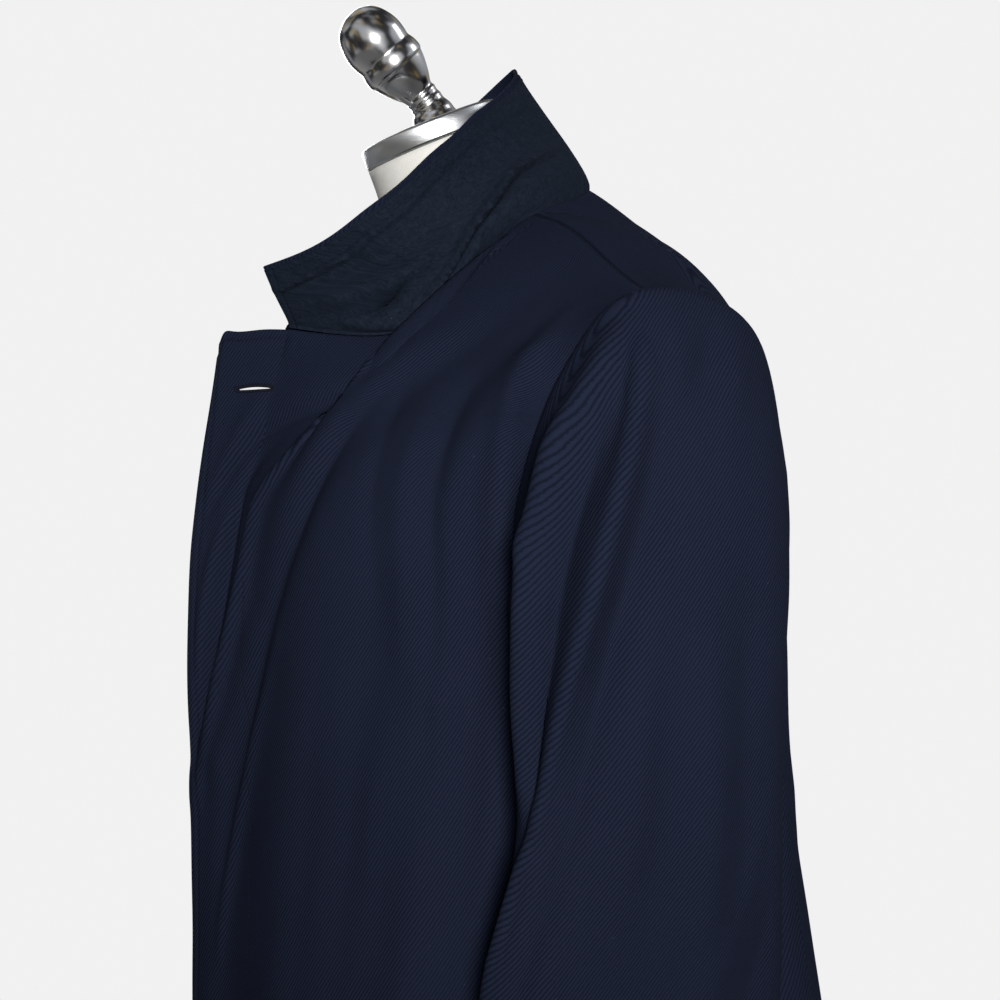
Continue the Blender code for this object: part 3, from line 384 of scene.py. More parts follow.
def sleeve(side, at, v, lift=3.0):
    """The sleeve's surface: at round it (0 at the back, 0.25 outside, 0.5 front), v down from 0 at the armhole,
    1 at the sleeve's first level section, 2 at the cuff."""
    shape = np.broadcast(at, v).shape
    at = np.broadcast_to(at, shape).ravel() % 1.0
    v = np.broadcast_to(v, shape).ravel().astype(float)
    rows = np.array(SLEEVE_ROWS, float)[::-1]
    z = np.where(v > 1, SLEEVE_TOP_Z + (CUFF_Z - SLEEVE_TOP_Z) * (v - 1), SLEEVE_TOP_Z)

    def ring(zz):
        w = basis(rows[:, 0], zz) @ rows[:, 1:]
        a = 2 * np.pi * at
        s, c = np.sin(a), np.cos(a)
        k = 0.88
        return np.stack([w[:, 0] + w[:, 2] * np.sign(s) * np.abs(s) ** k, w[:, 1] + w[:, 3] * np.sign(c) * np.abs(c) ** k, zz], 1)

    low = ring(z)
    top = armhole(side, at) * np.array([side, 1, 1])
    top[:, 0] += lift + 1.0 * np.exp(-((at - 0.55) / 0.1) ** 2) + 0.9 * np.exp(-((at - 0.84) / 0.16) ** 2)
    dz = (ring(np.full(len(at), SLEEVE_TOP_Z)) - ring(np.full(len(at), SLEEVE_TOP_Z - 6.0))) / 6.0
    crown = np.exp(-((at - 0.25) / 0.16) ** 2)
    front = np.exp(-((at - 0.50) / 0.12) ** 2)
    behind = np.exp(-((at - 0.02) / 0.10) ** 2) + np.exp(-((at - 1.02) / 0.10) ** 2)
    leave = np.stack([np.full(len(at), 1.0), 0.02 * behind - 0.50 * front, 0.18 * crown - 0.35 * (1 - crown)], 1)
    leave /= np.linalg.norm(leave, axis=1)[:, None]
    reach = 60 + 55 * crown
    drop = (top[:, 2] - SLEEVE_TOP_Z)[:, None]
    p = hermite(top, low, leave * reach[:, None], -dz * np.maximum(drop, 22.0) * 1.15, np.minimum(v, 1))
    p[v > 1] = low[v > 1]
    p[:, 0] *= side
    return p.reshape(shape + (3,))


def sleeve_folds(at, z):
    out = np.zeros(np.broadcast(at, z).shape)
    for a0, z0, a1, z1, high, wide in SLEEVE_FOLDS:
        out = out + line_bump(at * 420, z, a0 * 420, z0, a1 * 420, z1, wide, high, 40.0)
    return out


# ---------------------------------------------------------------- collar
# The turned-up collar's upper edge, from the centre back to its front end, for each half.
COLLAR_EDGE_LEFT = [
    (0.000, 0, 40, 1622), (0.130, 26, 32, 1611), (0.260, 47, 12, 1591), (0.400, 68, -14, 1571), (0.520, 77, -33, 1553),
    (0.640, 84, -54, 1535), (0.740, 89, -77, 1513), (0.820, 88, -100, 1495), (0.890, 80, -118, 1480), (0.950, 66, -138, 1468),
    (1.000, 46, -159, 1460),
]
COLLAR_EDGE_RIGHT = [
    (0.000, 0, 40, 1622), (0.130, -26, 32, 1612), (0.260, -48, 11, 1590), (0.400, -70, -14, 1564), (0.520, -79, -33, 1541),
    (0.640, -88, -50, 1518), (0.740, -95, -66, 1494), (0.820, -98, -80, 1476), (0.890, -95, -91, 1461), (0.950, -86, -101, 1450),
    (1.000, -74, -110, 1442),
]
# The stand line, where the collar was once turned down.
STAND_SHARE = 0.33


def collar(side, s, v):
    """The collar between the neck seam (v = 0) and its upper edge (v = 1); s from the centre back to its front end."""
    shape = np.broadcast(s, v).shape
    s = np.broadcast_to(s, shape).ravel().astype(float)
    v = np.broadcast_to(v, shape).ravel().astype(float)
    low = neck(side, s)
    low[:, 2] += 4.8
    high = through(COLLAR_EDGE_LEFT if side > 0 else COLLAR_EDGE_RIGHT, s)
    span = np.linalg.norm(high - low, axis=1)[:, None]
    out = np.stack([side * 0.55 * smooth(0.15, 0.6, s), -0.25 * (1 - smooth(0.1, 0.6, s)) - 0.45 * smooth(0.6, 0.95, s), np.full(len(s), 0.80)], 1)
    out /= np.linalg.norm(out, axis=1)[:, None]
    rise = high - low
    m0 = out * span * 0.75
    m1 = rise * 0.85 + np.array([0, 0, 0.22]) * span
    p = hermite(low, high, m0, m1, v)
    return p.reshape(shape + (3,))


# ---------------------------------------------------------------- dress form
# A row per ring: height, centre y, half width, depth to the front, depth to the back, lean in degrees.
FORM_ROWS = [
    (792, 4, 152, 92, 96, 0), (830, 4, 164, 100, 108, 0), (880, 4, 172, 104, 116, 0), (950, 4, 170, 102, 116, 0),
    (1040, 4, 152, 96, 98, 0), (1110, 4, 145, 96, 94, 0), (1180, 6, 155, 104, 110, 0), (1250, 8, 168, 112, 128, 0),
    (1310, 8, 178, 110, 138, 0), (1350, 12, 184, 104, 136, 0), (1385, 20, 184, 94, 128, 0), (1408, 24, 174, 84, 118, 1),
    (1428, 26, 148, 74, 106, 3), (1448, 24, 112, 66, 92, 6), (1468, 18, 82, 60, 76, 10), (1490, 8, 66, 56, 62, 14),
    (1512, -4, 57, 54, 54, 18), (1540, -12.5, 54.6, 53.2, 52.6, 22), (1560.65, -20.35, 53.3, 53.3, 53.3, 23),
]
CAP_CENTRE = (0.0, -20.5, 1561.0)
CAP_LEAN = 23.0

# ---------------------------------------------------------------- finer creases
FOLDS[7] = ("left", 0.750, 1180, 0.770, 520, 1.2, 34)      # the fine creases take this one's place
# Each row: share round the half coat, height above the floor, height of the crease (mm) for a run of points; then its width (mm).
FRONT_LEFT_CREASES = [
    # the long fold from under the collar's end to the front edge, with the hollow on each side of it
    ([(0.745, 1402, 1.0), (0.782, 1382, 4.0), (0.815, 1352, 6.5), (0.848, 1302, 8.0), (0.890, 1237, 8.5), (0.950, 1161, 7.0), (0.985, 1095, 2.0)], 12),
    ([(0.690, 1385, -1.0), (0.722, 1350, -5.5), (0.750, 1298, -6.5), (0.792, 1250, -5.5), (0.838, 1185, -3.5), (0.872, 1120, -1.0)], 15),
    ([(0.868, 1352, -1.0), (0.900, 1318, -5.0), (0.925, 1259, -7.5), (0.960, 1178, -8.0), (0.985, 1120, -4.0)], 12),
    # a shorter hollow from the collar's end towards the edge
    ([(0.800, 1400, -1.5), (0.822, 1385, -4.5), (0.872, 1360, -5.0), (0.930, 1325, -4.0), (0.975, 1285, -1.5)], 9),
    ([(0.905, 1375, 0.5), (0.935, 1345, 2.4), (0.965, 1310, 1.4)], 12),
    ([(0.900, 1310, 1.0), (0.950, 1265, 3.5), (0.975, 1210, 3.0), (0.985, 1150, 1.0)], 9),
    ([(0.790, 1215, 0.5), (0.825, 1160, 3.0), (0.858, 1108, 4.5), (0.900, 1045, 4.0), (0.925, 985, 1.5)], 11),
    # the cloth in front of the armhole
    ([(0.550, 1414, 1.5), (0.532, 1382, 6.0), (0.512, 1341, 10.0), (0.500, 1294, 12.0), (0.494, 1230, 13.0), (0.494, 1150, 12.0), (0.500, 1080, 8.0), (0.515, 1000, 4.0)], 15),
    ([(0.600, 1385, -1.0), (0.580, 1340, -4.5), (0.566, 1280, -6.0), (0.562, 1210, -5.0), (0.570, 1120, -2.0)], 14),
    ([(0.640, 1380, 0.5), (0.618, 1330, 2.6), (0.604, 1260, 2.6), (0.600, 1190, 1.0)], 13),
    ([(0.690, 1390, -0.6), (0.668, 1350, -2.4), (0.650, 1300, -2.2), (0.640, 1230, -0.6)], 11),
    ([(0.620, 1180, 0.5), (0.625, 1120, 2.5), (0.636, 1050, 3.0), (0.650, 940, 1.5)], 22),
    ([(0.700, 1240, -0.5), (0.712, 1120, -2.0), (0.722, 980, -2.0), (0.730, 760, -1.0)], 24),
    ([(0.560, 1080, 1.0), (0.590, 960, 4.0), (0.600, 800, 5.0), (0.600, 560, 4.0)], 24),
    ([(0.800, 900, 1.0), (0.810, 760, 4.0), (0.815, 540, 5.0)], 26),
    ([(0.640, 860, -1.0), (0.680, 740, -4.0), (0.690, 520, -5.0)], 24),
    ([(0.430, 1180, -1.0), (0.430, 1050, -4.0), (0.430, 700, -5.0), (0.430, 500, -4.0)], 26),
]
FRONT_RIGHT_CREASES = [
    ([(0.560, 1400, 1.0), (0.545, 1370, 3.5), (0.530, 1320, 4.5), (0.520, 1240, 3.0), (0.520, 1150, 1.0)], 13),
    ([(0.700, 1390, 1.5), (0.735, 1340, 4.0), (0.770, 1270, 4.0), (0.830, 1180, 2.5), (0.880, 1090, 0.5)], 14),
    ([(0.640, 1360, -1.0), (0.650, 1290, -3.5), (0.670, 1200, -3.0), (0.690, 1080, -1.0)], 15),
    ([(0.600, 1180, 0.5), (0.612, 1050, 3.0), (0.622, 880, 4.0), (0.625, 560, 4.0)], 22),
    ([(0.720, 1120, -0.5), (0.732, 980, -3.0), (0.740, 760, -4.5), (0.745, 520, -4.0)], 22),
    ([(0.820, 1000, 0.5), (0.835, 820, 3.5), (0.840, 540, 4.5)], 24),
    ([(0.430, 1180, -1.0), (0.430, 1050, -4.0), (0.430, 700, -5.0), (0.430, 500, -4.0)], 26),
]
BACK_CREASES = [
    ([(0.240, 1330, 0.5), (0.232, 1270, 3.0), (0.225, 1180, 3.5), (0.215, 1080, 1.0)], 14),
    ([(0.200, 1350, -0.5), (0.195, 1260, -2.5), (0.185, 1150, -3.0), (0.180, 1040, -1.0)], 15),
    ([(0.285, 1200, 0.5), (0.285, 1100, 3.0), (0.290, 900, 4.5), (0.290, 560, 4.0)], 22),
    ([(0.120, 1240, 0.5), (0.118, 1120, 2.5), (0.112, 900, 4.0), (0.110, 540, 5.0)], 26),
    ([(0.050, 1160, -0.5), (0.046, 1000, -3.0), (0.044, 760, -4.0), (0.044, 520, -4.0)], 22),
    ([(0.340, 1140, -0.5), (0.342, 1000, -3.0), (0.345, 700, -3.5), (0.345, 520, -3.0)], 20),
    ([(0.040, 1498, 0.3), (0.090, 1470, 1.8), (0.140, 1440, 1.2), (0.180, 1405, 0.3)], 14),
]
SLEEVE_CREASES = [
    ([(0.290, 1418, 1.5), (0.308, 1398, 6.0), (0.348, 1362, 8.0), (0.396, 1330, 7.5), (0.424, 1294, 7.0), (0.452, 1250, 6.0), (0.470, 1195, 5.0), (0.478, 1130, 2.0)], 9),
    ([(0.306, 1376, -2.0), (0.326, 1342, -7.5), (0.350, 1304, -9.5), (0.370, 1270, -9.0), (0.390, 1219, -8.5), (0.424, 1155, -7.5), (0.452, 1095, -5.0), (0.480, 1040, -1.5)], 13),
    ([(0.290, 1400, -1.5), (0.297, 1380, -4.5), (0.304, 1352, -4.0), (0.320, 1318, -2.5), (0.338, 1280, -0.8)], 5),
    ([(0.272, 1404, 1.5), (0.282, 1372, 6.5), (0.298, 1330, 10.5), (0.318, 1290, 12.0), (0.350, 1234, 12.0), (0.378, 1192, 11.0), (0.428, 1120, 10.0), (0.472, 1070, 8.5), (0.508, 1010, 5.5), (0.522, 950, 3.0)], 9),
    ([(0.258, 1372, -1.0), (0.264, 1335, -4.5), (0.278, 1292, -7.5), (0.298, 1250, -8.5), (0.324, 1196, -8.0), (0.354, 1140, -6.0), (0.388, 1080, -3.5), (0.420, 1010, -1.2)], 13),
    ([(0.200, 1418, -1.0), (0.205, 1404, -4.5), (0.216, 1384, -4.0), (0.228, 1360, -1.0)], 8),
    ([(0.182, 1404, 0.6), (0.186, 1380, 2.8), (0.196, 1350, 2.0), (0.200, 1310, 0.5)], 11),
    ([(0.240, 1420, 0.8), (0.246, 1398, 2.8), (0.250, 1370, 1.8), (0.252, 1340, 0.5)], 8),
    ([(0.270, 1416, -0.8), (0.264, 1396, -2.0), (0.262, 1372, -0.8)], 5),
    ([(0.224, 1250, 0.5), (0.222, 1190, 3.4), (0.216, 1120, 4.2), (0.212, 1040, 3.4), (0.208, 950, 1.5)], 16),
    ([(0.252, 1240, -0.5), (0.254, 1170, -2.4), (0.256, 1090, -2.4), (0.262, 1020, -0.8)], 14),
    ([(0.276, 1250, 0.5), (0.282, 1200, 3.0), (0.292, 1120, 3.4), (0.310, 1040, 1.5)], 13),
    ([(0.170, 1300, -0.6), (0.168, 1220, -3.0), (0.165, 1130, -3.4), (0.160, 1000, -1.5)], 18),
    ([(0.360, 1060, 0.6), (0.384, 1000, 3.0), (0.404, 940, 3.0), (0.410, 880, 1.0)], 14),
    ([(0.300, 1010, -0.6), (0.330, 950, -3.0), (0.350, 890, -2.6), (0.360, 840, -0.6)], 14),
    ([(0.110, 1120, 0.5), (0.150, 1060, 2.2), (0.190, 1010, 2.0), (0.220, 975, 0.5)], 13),
    ([(0.090, 1060, -0.5), (0.130, 1005, -2.4), (0.180, 960, -1.8), (0.210, 935, -0.4)], 12),
    ([(0.700, 1160, 0.5), (0.720, 1100, 3.0), (0.760, 1030, 3.0), (0.800, 980, 0.5)], 14),
    ([(0.860, 1200, 0.5), (0.850, 1120, 2.5), (0.840, 1000, 2.5), (0.840, 880, 0.5)], 15),
]
COLLAR_CREASES = [
    # share from centre back to front end, share of the height, height of the crease; then its width in mm
    ([(0.560, 0.16, 0.4), (0.640, 0.10, 1.0), (0.740, 0.06, 1.0), (0.860, 0.10, 0.4)], 7),
    ([(0.600, 0.56, -0.3), (0.700, 0.60, -0.7), (0.820, 0.58, -0.6), (0.930, 0.50, -0.3)], 10),
    ([(0.10, 0.42, 0.0), (0.24, 0.44, 0.6), (0.397, 0.455, 1.6), (0.482, 0.384, 1.8), (0.573, 0.325, 1.8), (0.633, 0.222, 1.6), (0.690, 0.130, 0.8), (0.730, 0.060, 0.2)], 3.6),
    ([(0.10, 0.36, 0.0), (0.24, 0.37, -0.3), (0.397, 0.385, -1.0), (0.482, 0.310, -1.1), (0.573, 0.250, -1.1), (0.633, 0.150, -0.8)], 4.5),
    ([(0.985, 0.64, 0.6), (0.925, 0.717, 0.9), (0.854, 0.742, 0.9), (0.809, 0.795, 0.8), (0.714, 0.822, 0.8), (0.563, 0.850, 0.7), (0.382, 0.835, 0.6), (0.20, 0.83, 0.4)], 3.0),
    ([(0.739, 0.330, -1.2), (0.775, 0.255, -1.8), (0.815, 0.180, -0.8)], 6.5),
    ([(0.700, 0.420, 0.5), (0.760, 0.400, 1.2), (0.840, 0.420, 0.8)], 10),
    ([(0.860, 0.300, 0.3), (0.900, 0.420, 0.9), (0.940, 0.520, 0.3)], 12),
]


def run_bump(px, py, pts, width):
    """Height of one crease at (px, py), both in millimetres: a soft ridge or trough along a run of points."""
    best = np.full(px.shape, 1e9)
    high = np.zeros(px.shape)
    for (ax, ay, ah), (bx, by, bh) in zip(pts[:-1], pts[1:]):
        dx, dy = bx - ax, by - ay
        t = np.clip(((px - ax) * dx + (py - ay) * dy) / (dx * dx + dy * dy + 1e-9), 0, 1)
        d = (px - ax - t * dx) ** 2 + (py - ay - t * dy) ** 2
        k = d < best
        best = np.where(k, d, best)
        high = np.where(k, ah + (bh - ah) * t, high)
    return high / (1 + best / width**2) ** 2 * np.exp(-best / (3.2 * width) ** 2)


def dense(knots, x):
    """Rounded run of points through a few knots, so a crease has no corners."""
    t = np.linspace(0, 1, len(knots))
    return basis(t, x) @ np.array(knots, float)


def creases(px, py, table, sx):
    out = np.zeros(px.shape)
    for pts, width in table:
        run = dense(pts, np.linspace(0, 1, 4 * len(pts)))
        run[:, 0] *= sx
        out += run_bump(px, py, [tuple(p) for p in run], width)
    return out


def wander(px, py, size, seed):
    """Slow unevenness of the cloth, between -1 and 1, from a few sine waves."""
    rng = np.random.RandomState(seed)
    out = np.zeros(px.shape)
    for k in range(7):
        a = rng.uniform(0, np.pi)
        f = 2 * np.pi / (size * rng.uniform(0.7, 1.6))
        out += np.sin((px * np.cos(a) + py * np.sin(a)) * f + rng.uniform(0, 6.28))
    return out / 4.0


def normals(p, centre):
    du, dv = np.gradient(p, axis=1), np.gradient(p, axis=0)
    n = np.cross(du, dv)
    n /= np.maximum(np.linalg.norm(n, axis=2), 1e-9)[..., None]
    away = p - np.asarray(centre, float)
    away[..., 2] = 0
    if (n * away).sum() < 0:
        n = -n
    return n


def arc(p, axis):
    d = np.linalg.norm(np.diff(p, axis=axis), axis=2)
    z = np.zeros_like(np.take(d, [0], axis=axis))
    return np.concatenate([z, np.cumsum(d, axis=axis)], axis=axis)


def grain(p, centre, anchor_col, anchor_row):
    """Cloth coordinates in mm: across the grain along level lines, and along the grain up the slope."""
    n = normals(p, centre)
    flat = np.maximum(np.hypot(n[..., 0], n[..., 1]), 0.38)
    t = np.stack([-n[..., 1], n[..., 0]], -1) / np.maximum(np.hypot(n[..., 0], n[..., 1]), 1e-6)[..., None]
    d = np.diff(p[..., :2], axis=1)
    tm = (t[:, 1:] + t[:, :-1]) / 2
    du = (d * tm).sum(-1)
    u = np.concatenate([np.zeros((p.shape[0], 1)), np.cumsum(du, 1)], 1)
    u = u - u[:, anchor_col][:, None]
    dz = np.diff(p[..., 2], axis=0) / ((flat[1:] + flat[:-1]) / 2)
    v = np.concatenate([np.zeros((1, p.shape[1])), np.cumsum(dz, 0)], 0)
    v = v - v[anchor_row]
    return u, v


# ---------------------------------------------------------------- materials
def node_of(nt, kind, **values):
    n = nt.nodes.new(kind)
    for k, v in values.items():
        if hasattr(n, k) and not k.startswith("in_"):
            setattr(n, k, v)
    return n


def math_node(nt, op, a, b=None, c=None):
    n = nt.nodes.new("ShaderNodeMath")
    n.operation = op
    for i, q in enumerate((a, b, c)):
        if q is None:
            continue
        if isinstance(q, (int, float)):
            n.inputs[i].default_value = q
        else:
            nt.links.new(q, n.inputs[i])
    return n.outputs[0]


def mix_colour(nt, fac, a, b, blend="MIX"):
    n = nt.nodes.new("ShaderNodeMix")
    n.data_type = "RGBA"
    n.blend_type = blend
    for sock, q in ((n.inputs[0], fac), (n.inputs[6], a), (n.inputs[7], b)):
        if isinstance(q, (int, float)):
            sock.default_value = q
        elif isinstance(q, tuple):
            sock.default_value = q
        else:
            nt.links.new(q, sock)
    return n.outputs[2]


def noise(nt, vector, scale, detail=2.0, rough=0.5):
    n = nt.nodes.new("ShaderNodeTexNoise")
    n.inputs["Scale"].default_value = scale
    n.inputs["Detail"].default_value = detail
    n.inputs["Roughness"].default_value = rough
    nt.links.new(vector, n.inputs["Vector"])
    return n.outputs["Fac"]


def attribute(nt, name):
    n = nt.nodes.new("ShaderNodeAttribute")
    n.attribute_name = name
    return n.outputs["Fac"]


def gauss(nt, x, width):
    q = math_node(nt, "DIVIDE", x, width)
    q = math_node(nt, "MULTIPLY", q, q)
    q = math_node(nt, "MULTIPLY", q, -1.0)
    return math_node(nt, "EXPONENT", q)


def new_material(name):
    m = bpy.data.materials.new(name)
    m.use_nodes = True
    nt = m.node_tree
    return m, nt, nt.nodes["Principled BSDF"]


def cloth_material(name, dark, light, twill=True, grooves=(), sheen=0.005, angle=59.0, pitch=2.10, fuzz=1.0):
    """Woollen cloth. The UV map is in metres; dark and light are the two ends of its heathered colour."""
    m, nt, b = new_material(name)
    uv = node_of(nt, "ShaderNodeUVMap")
    uv.uv_map = "cloth"
    v = uv.outputs["UV"]
    sep = nt.nodes.new("ShaderNodeSeparateXYZ")
    nt.links.new(v, sep.inputs[0])
    u, w = sep.outputs[0], sep.outputs[1]
    a = math.radians(angle)
    soft = noise(nt, v, 70.0, 2.0)
    fine = noise(nt, v, 2400.0, 3.0, 0.65)
    mid = noise(nt, v, 420.0, 3.0, 0.6)
    big = noise(nt, v, 9.0, 2.0)
    height = math_node(nt, "MULTIPLY", fine, 0.5 * fuzz)
    if twill:
        # distance across the twill line, which rises to the right at the given angle
        across = math_node(nt, "SUBTRACT", math_node(nt, "MULTIPLY", u, math.sin(a)), math_node(nt, "MULTIPLY", w, math.cos(a)))
        along = math_node(nt, "ADD", math_node(nt, "MULTIPLY", u, math.cos(a)), math_node(nt, "MULTIPLY", w, math.sin(a)))
        phase = math_node(nt, "MULTIPLY", across, 2 * math.pi / (pitch * 0.001))
        phase = math_node(nt, "ADD", phase, math_node(nt, "MULTIPLY", math_node(nt, "SUBTRACT", mid, 0.5), 2.6))
        phase = math_node(nt, "ADD", phase, math_node(nt, "MULTIPLY", math_node(nt, "SUBTRACT", soft, 0.5), 3.2))
        wale = math_node(nt, "MULTIPLY_ADD", math_node(nt, "SINE", phase), 0.5, 0.5)
        wale = math_node(nt, "POWER", wale, 0.8)
        yarn = math_node(nt, "SINE", math_node(nt, "MULTIPLY", along, 2 * math.pi / 0.0016))
        yarn = math_node(nt, "MULTIPLY_ADD", yarn, 0.10, 0.5)
        height = math_node(nt, "ADD", height, math_node(nt, "MULTIPLY", wale, 1.0))
        height = math_node(nt, "ADD", height, math_node(nt, "MULTIPLY", yarn, 0.6))
        broken = math_node(nt, "MULTIPLY", wale, math_node(nt, "MULTIPLY_ADD", mid, 1.1, 0.15))
        shade = math_node(nt, "MULTIPLY_ADD", broken, 0.90, math_node(nt, "MULTIPLY", fine, 0.95))
    else:
        height = math_node(nt, "ADD", height, math_node(nt, "MULTIPLY", mid, 1.6))
        blot = noise(nt, v, 150.0, 3.0, 0.6)
        shade = math_node(nt, "MULTIPLY_ADD", mid, 0.65, math_node(nt, "MULTIPLY", fine, 0.55))
        shade = math_node(nt, "ADD", shade, math_node(nt, "MULTIPLY", math_node(nt, "SUBTRACT", blot, 0.5), 0.45))
    shade = math_node(nt, "ADD", shade, math_node(nt, "MULTIPLY", math_node(nt, "SUBTRACT", big, 0.5), 0.25))
    ramp = nt.nodes.new("ShaderNodeValToRGB")
    ramp.color_ramp.elements[0].position = 0.15
    ramp.color_ramp.elements[0].color = dark + (1,)
    ramp.color_ramp.elements[1].position = 0.95
    ramp.color_ramp.elements[1].color = light + (1,)
    nt.links.new(shade, ramp.inputs[0])
    # a little pale lint
    lint = noise(nt, v, 260.0, 1.0)
    lint2 = noise(nt, v, 1300.0, 1.0)
    spot = math_node(nt, "MULTIPLY", math_node(nt, "GREATER_THAN", lint, 0.785), math_node(nt, "GREATER_THAN", lint2, 0.60))
    colour = mix_colour(nt, math_node(nt, "MULTIPLY", spot, 0.30), ramp.outputs[0], (0.16, 0.18, 0.22, 1))
    nt.links.new(colour, b.inputs["Base Color"])
    b.inputs["Roughness"].default_value = 0.92
    b.inputs["Specular IOR Level"].default_value = 0.02
    b.inputs["Sheen Weight"].default_value = sheen
    b.inputs["Sheen Roughness"].default_value = 0.45
    b.inputs["Sheen Tint"].default_value = (0.50, 0.60, 0.92, 1)
    bump = nt.nodes.new("ShaderNodeBump")
    bump.inputs["Strength"].default_value = 1.0
    bump.inputs["Distance"].default_value = 0.00024 if twill else 0.00034
    nt.links.new(height, bump.inputs["Height"])
    last = bump.outputs["Normal"]
    # stitched grooves and pressed seams: an attribute holds the distance from the line, in millimetres
    total = None
    for attr, at, width, deep in grooves:
        x = math_node(nt, "SUBTRACT", attribute(nt, attr), at)
        gr = math_node(nt, "MULTIPLY", gauss(nt, x, width), -deep)
        total = gr if total is None else math_node(nt, "ADD", total, gr)
    slow = math_node(nt, "MULTIPLY", math_node(nt, "SUBTRACT", soft, 0.5), 0.5)
    total = slow if total is None else math_node(nt, "ADD", total, slow)
    b2 = nt.nodes.new("ShaderNodeBump")
    b2.inputs["Strength"].default_value = 1.0
    b2.inputs["Distance"].default_value = 0.001
    nt.links.new(total, b2.inputs["Height"])
    nt.links.new(last, b2.inputs["Normal"])
    nt.links.new(b2.outputs["Normal"], b.inputs["Normal"])
    return m


DARK, LIGHT = (0.0014, 0.0019, 0.0050), (0.0124, 0.0166, 0.0345)
EDGE_STITCH, FLY_STITCH = 6.2, 62.0
wool_front = cloth_material("wool_front", DARK, LIGHT, grooves=[("edge_mm", EDGE_STITCH, 1.4, 0.55), ("edge_mm", 0.8, 1.3, 0.5), ("top_mm", EDGE_STITCH, 1.4, 0.45), ("fly_mm", 0.0, 1.2, 0.12), ("seam_mm", 0.0, 1.6, 0.9)])
wool_plain = cloth_material("wool_plain", DARK, LIGHT, grooves=[("seam_mm", 0.0, 1.6, 0.9)])
wool_sleeve = cloth_material("wool_sleeve", DARK, LIGHT, angle=55.0, grooves=[("seam_mm", 0.0, 1.6, 0.9)])
wool_collar = cloth_material("wool_collar", DARK, LIGHT, grooves=[])
felt_mat = cloth_material("undercollar_felt", (0.0006, 0.0013, 0.0028), (0.0160, 0.0232, 0.0385), twill=False, grooves=[("edge_mm", 4.2, 1.0, 0.5), ("end_mm", 5.6, 1.0, 0.5)], sheen=0.012)
thread_mat = new_material("thread")[0]
thread_mat.node_tree.nodes["Principled BSDF"].inputs["Base Color"].default_value = (0.0040, 0.0048, 0.0105, 1)
thread_mat.node_tree.nodes["Principled BSDF"].inputs["Roughness"].default_value = 0.6
thread_mat.node_tree.nodes["Principled BSDF"].inputs["Specular IOR Level"].default_value = 0.12


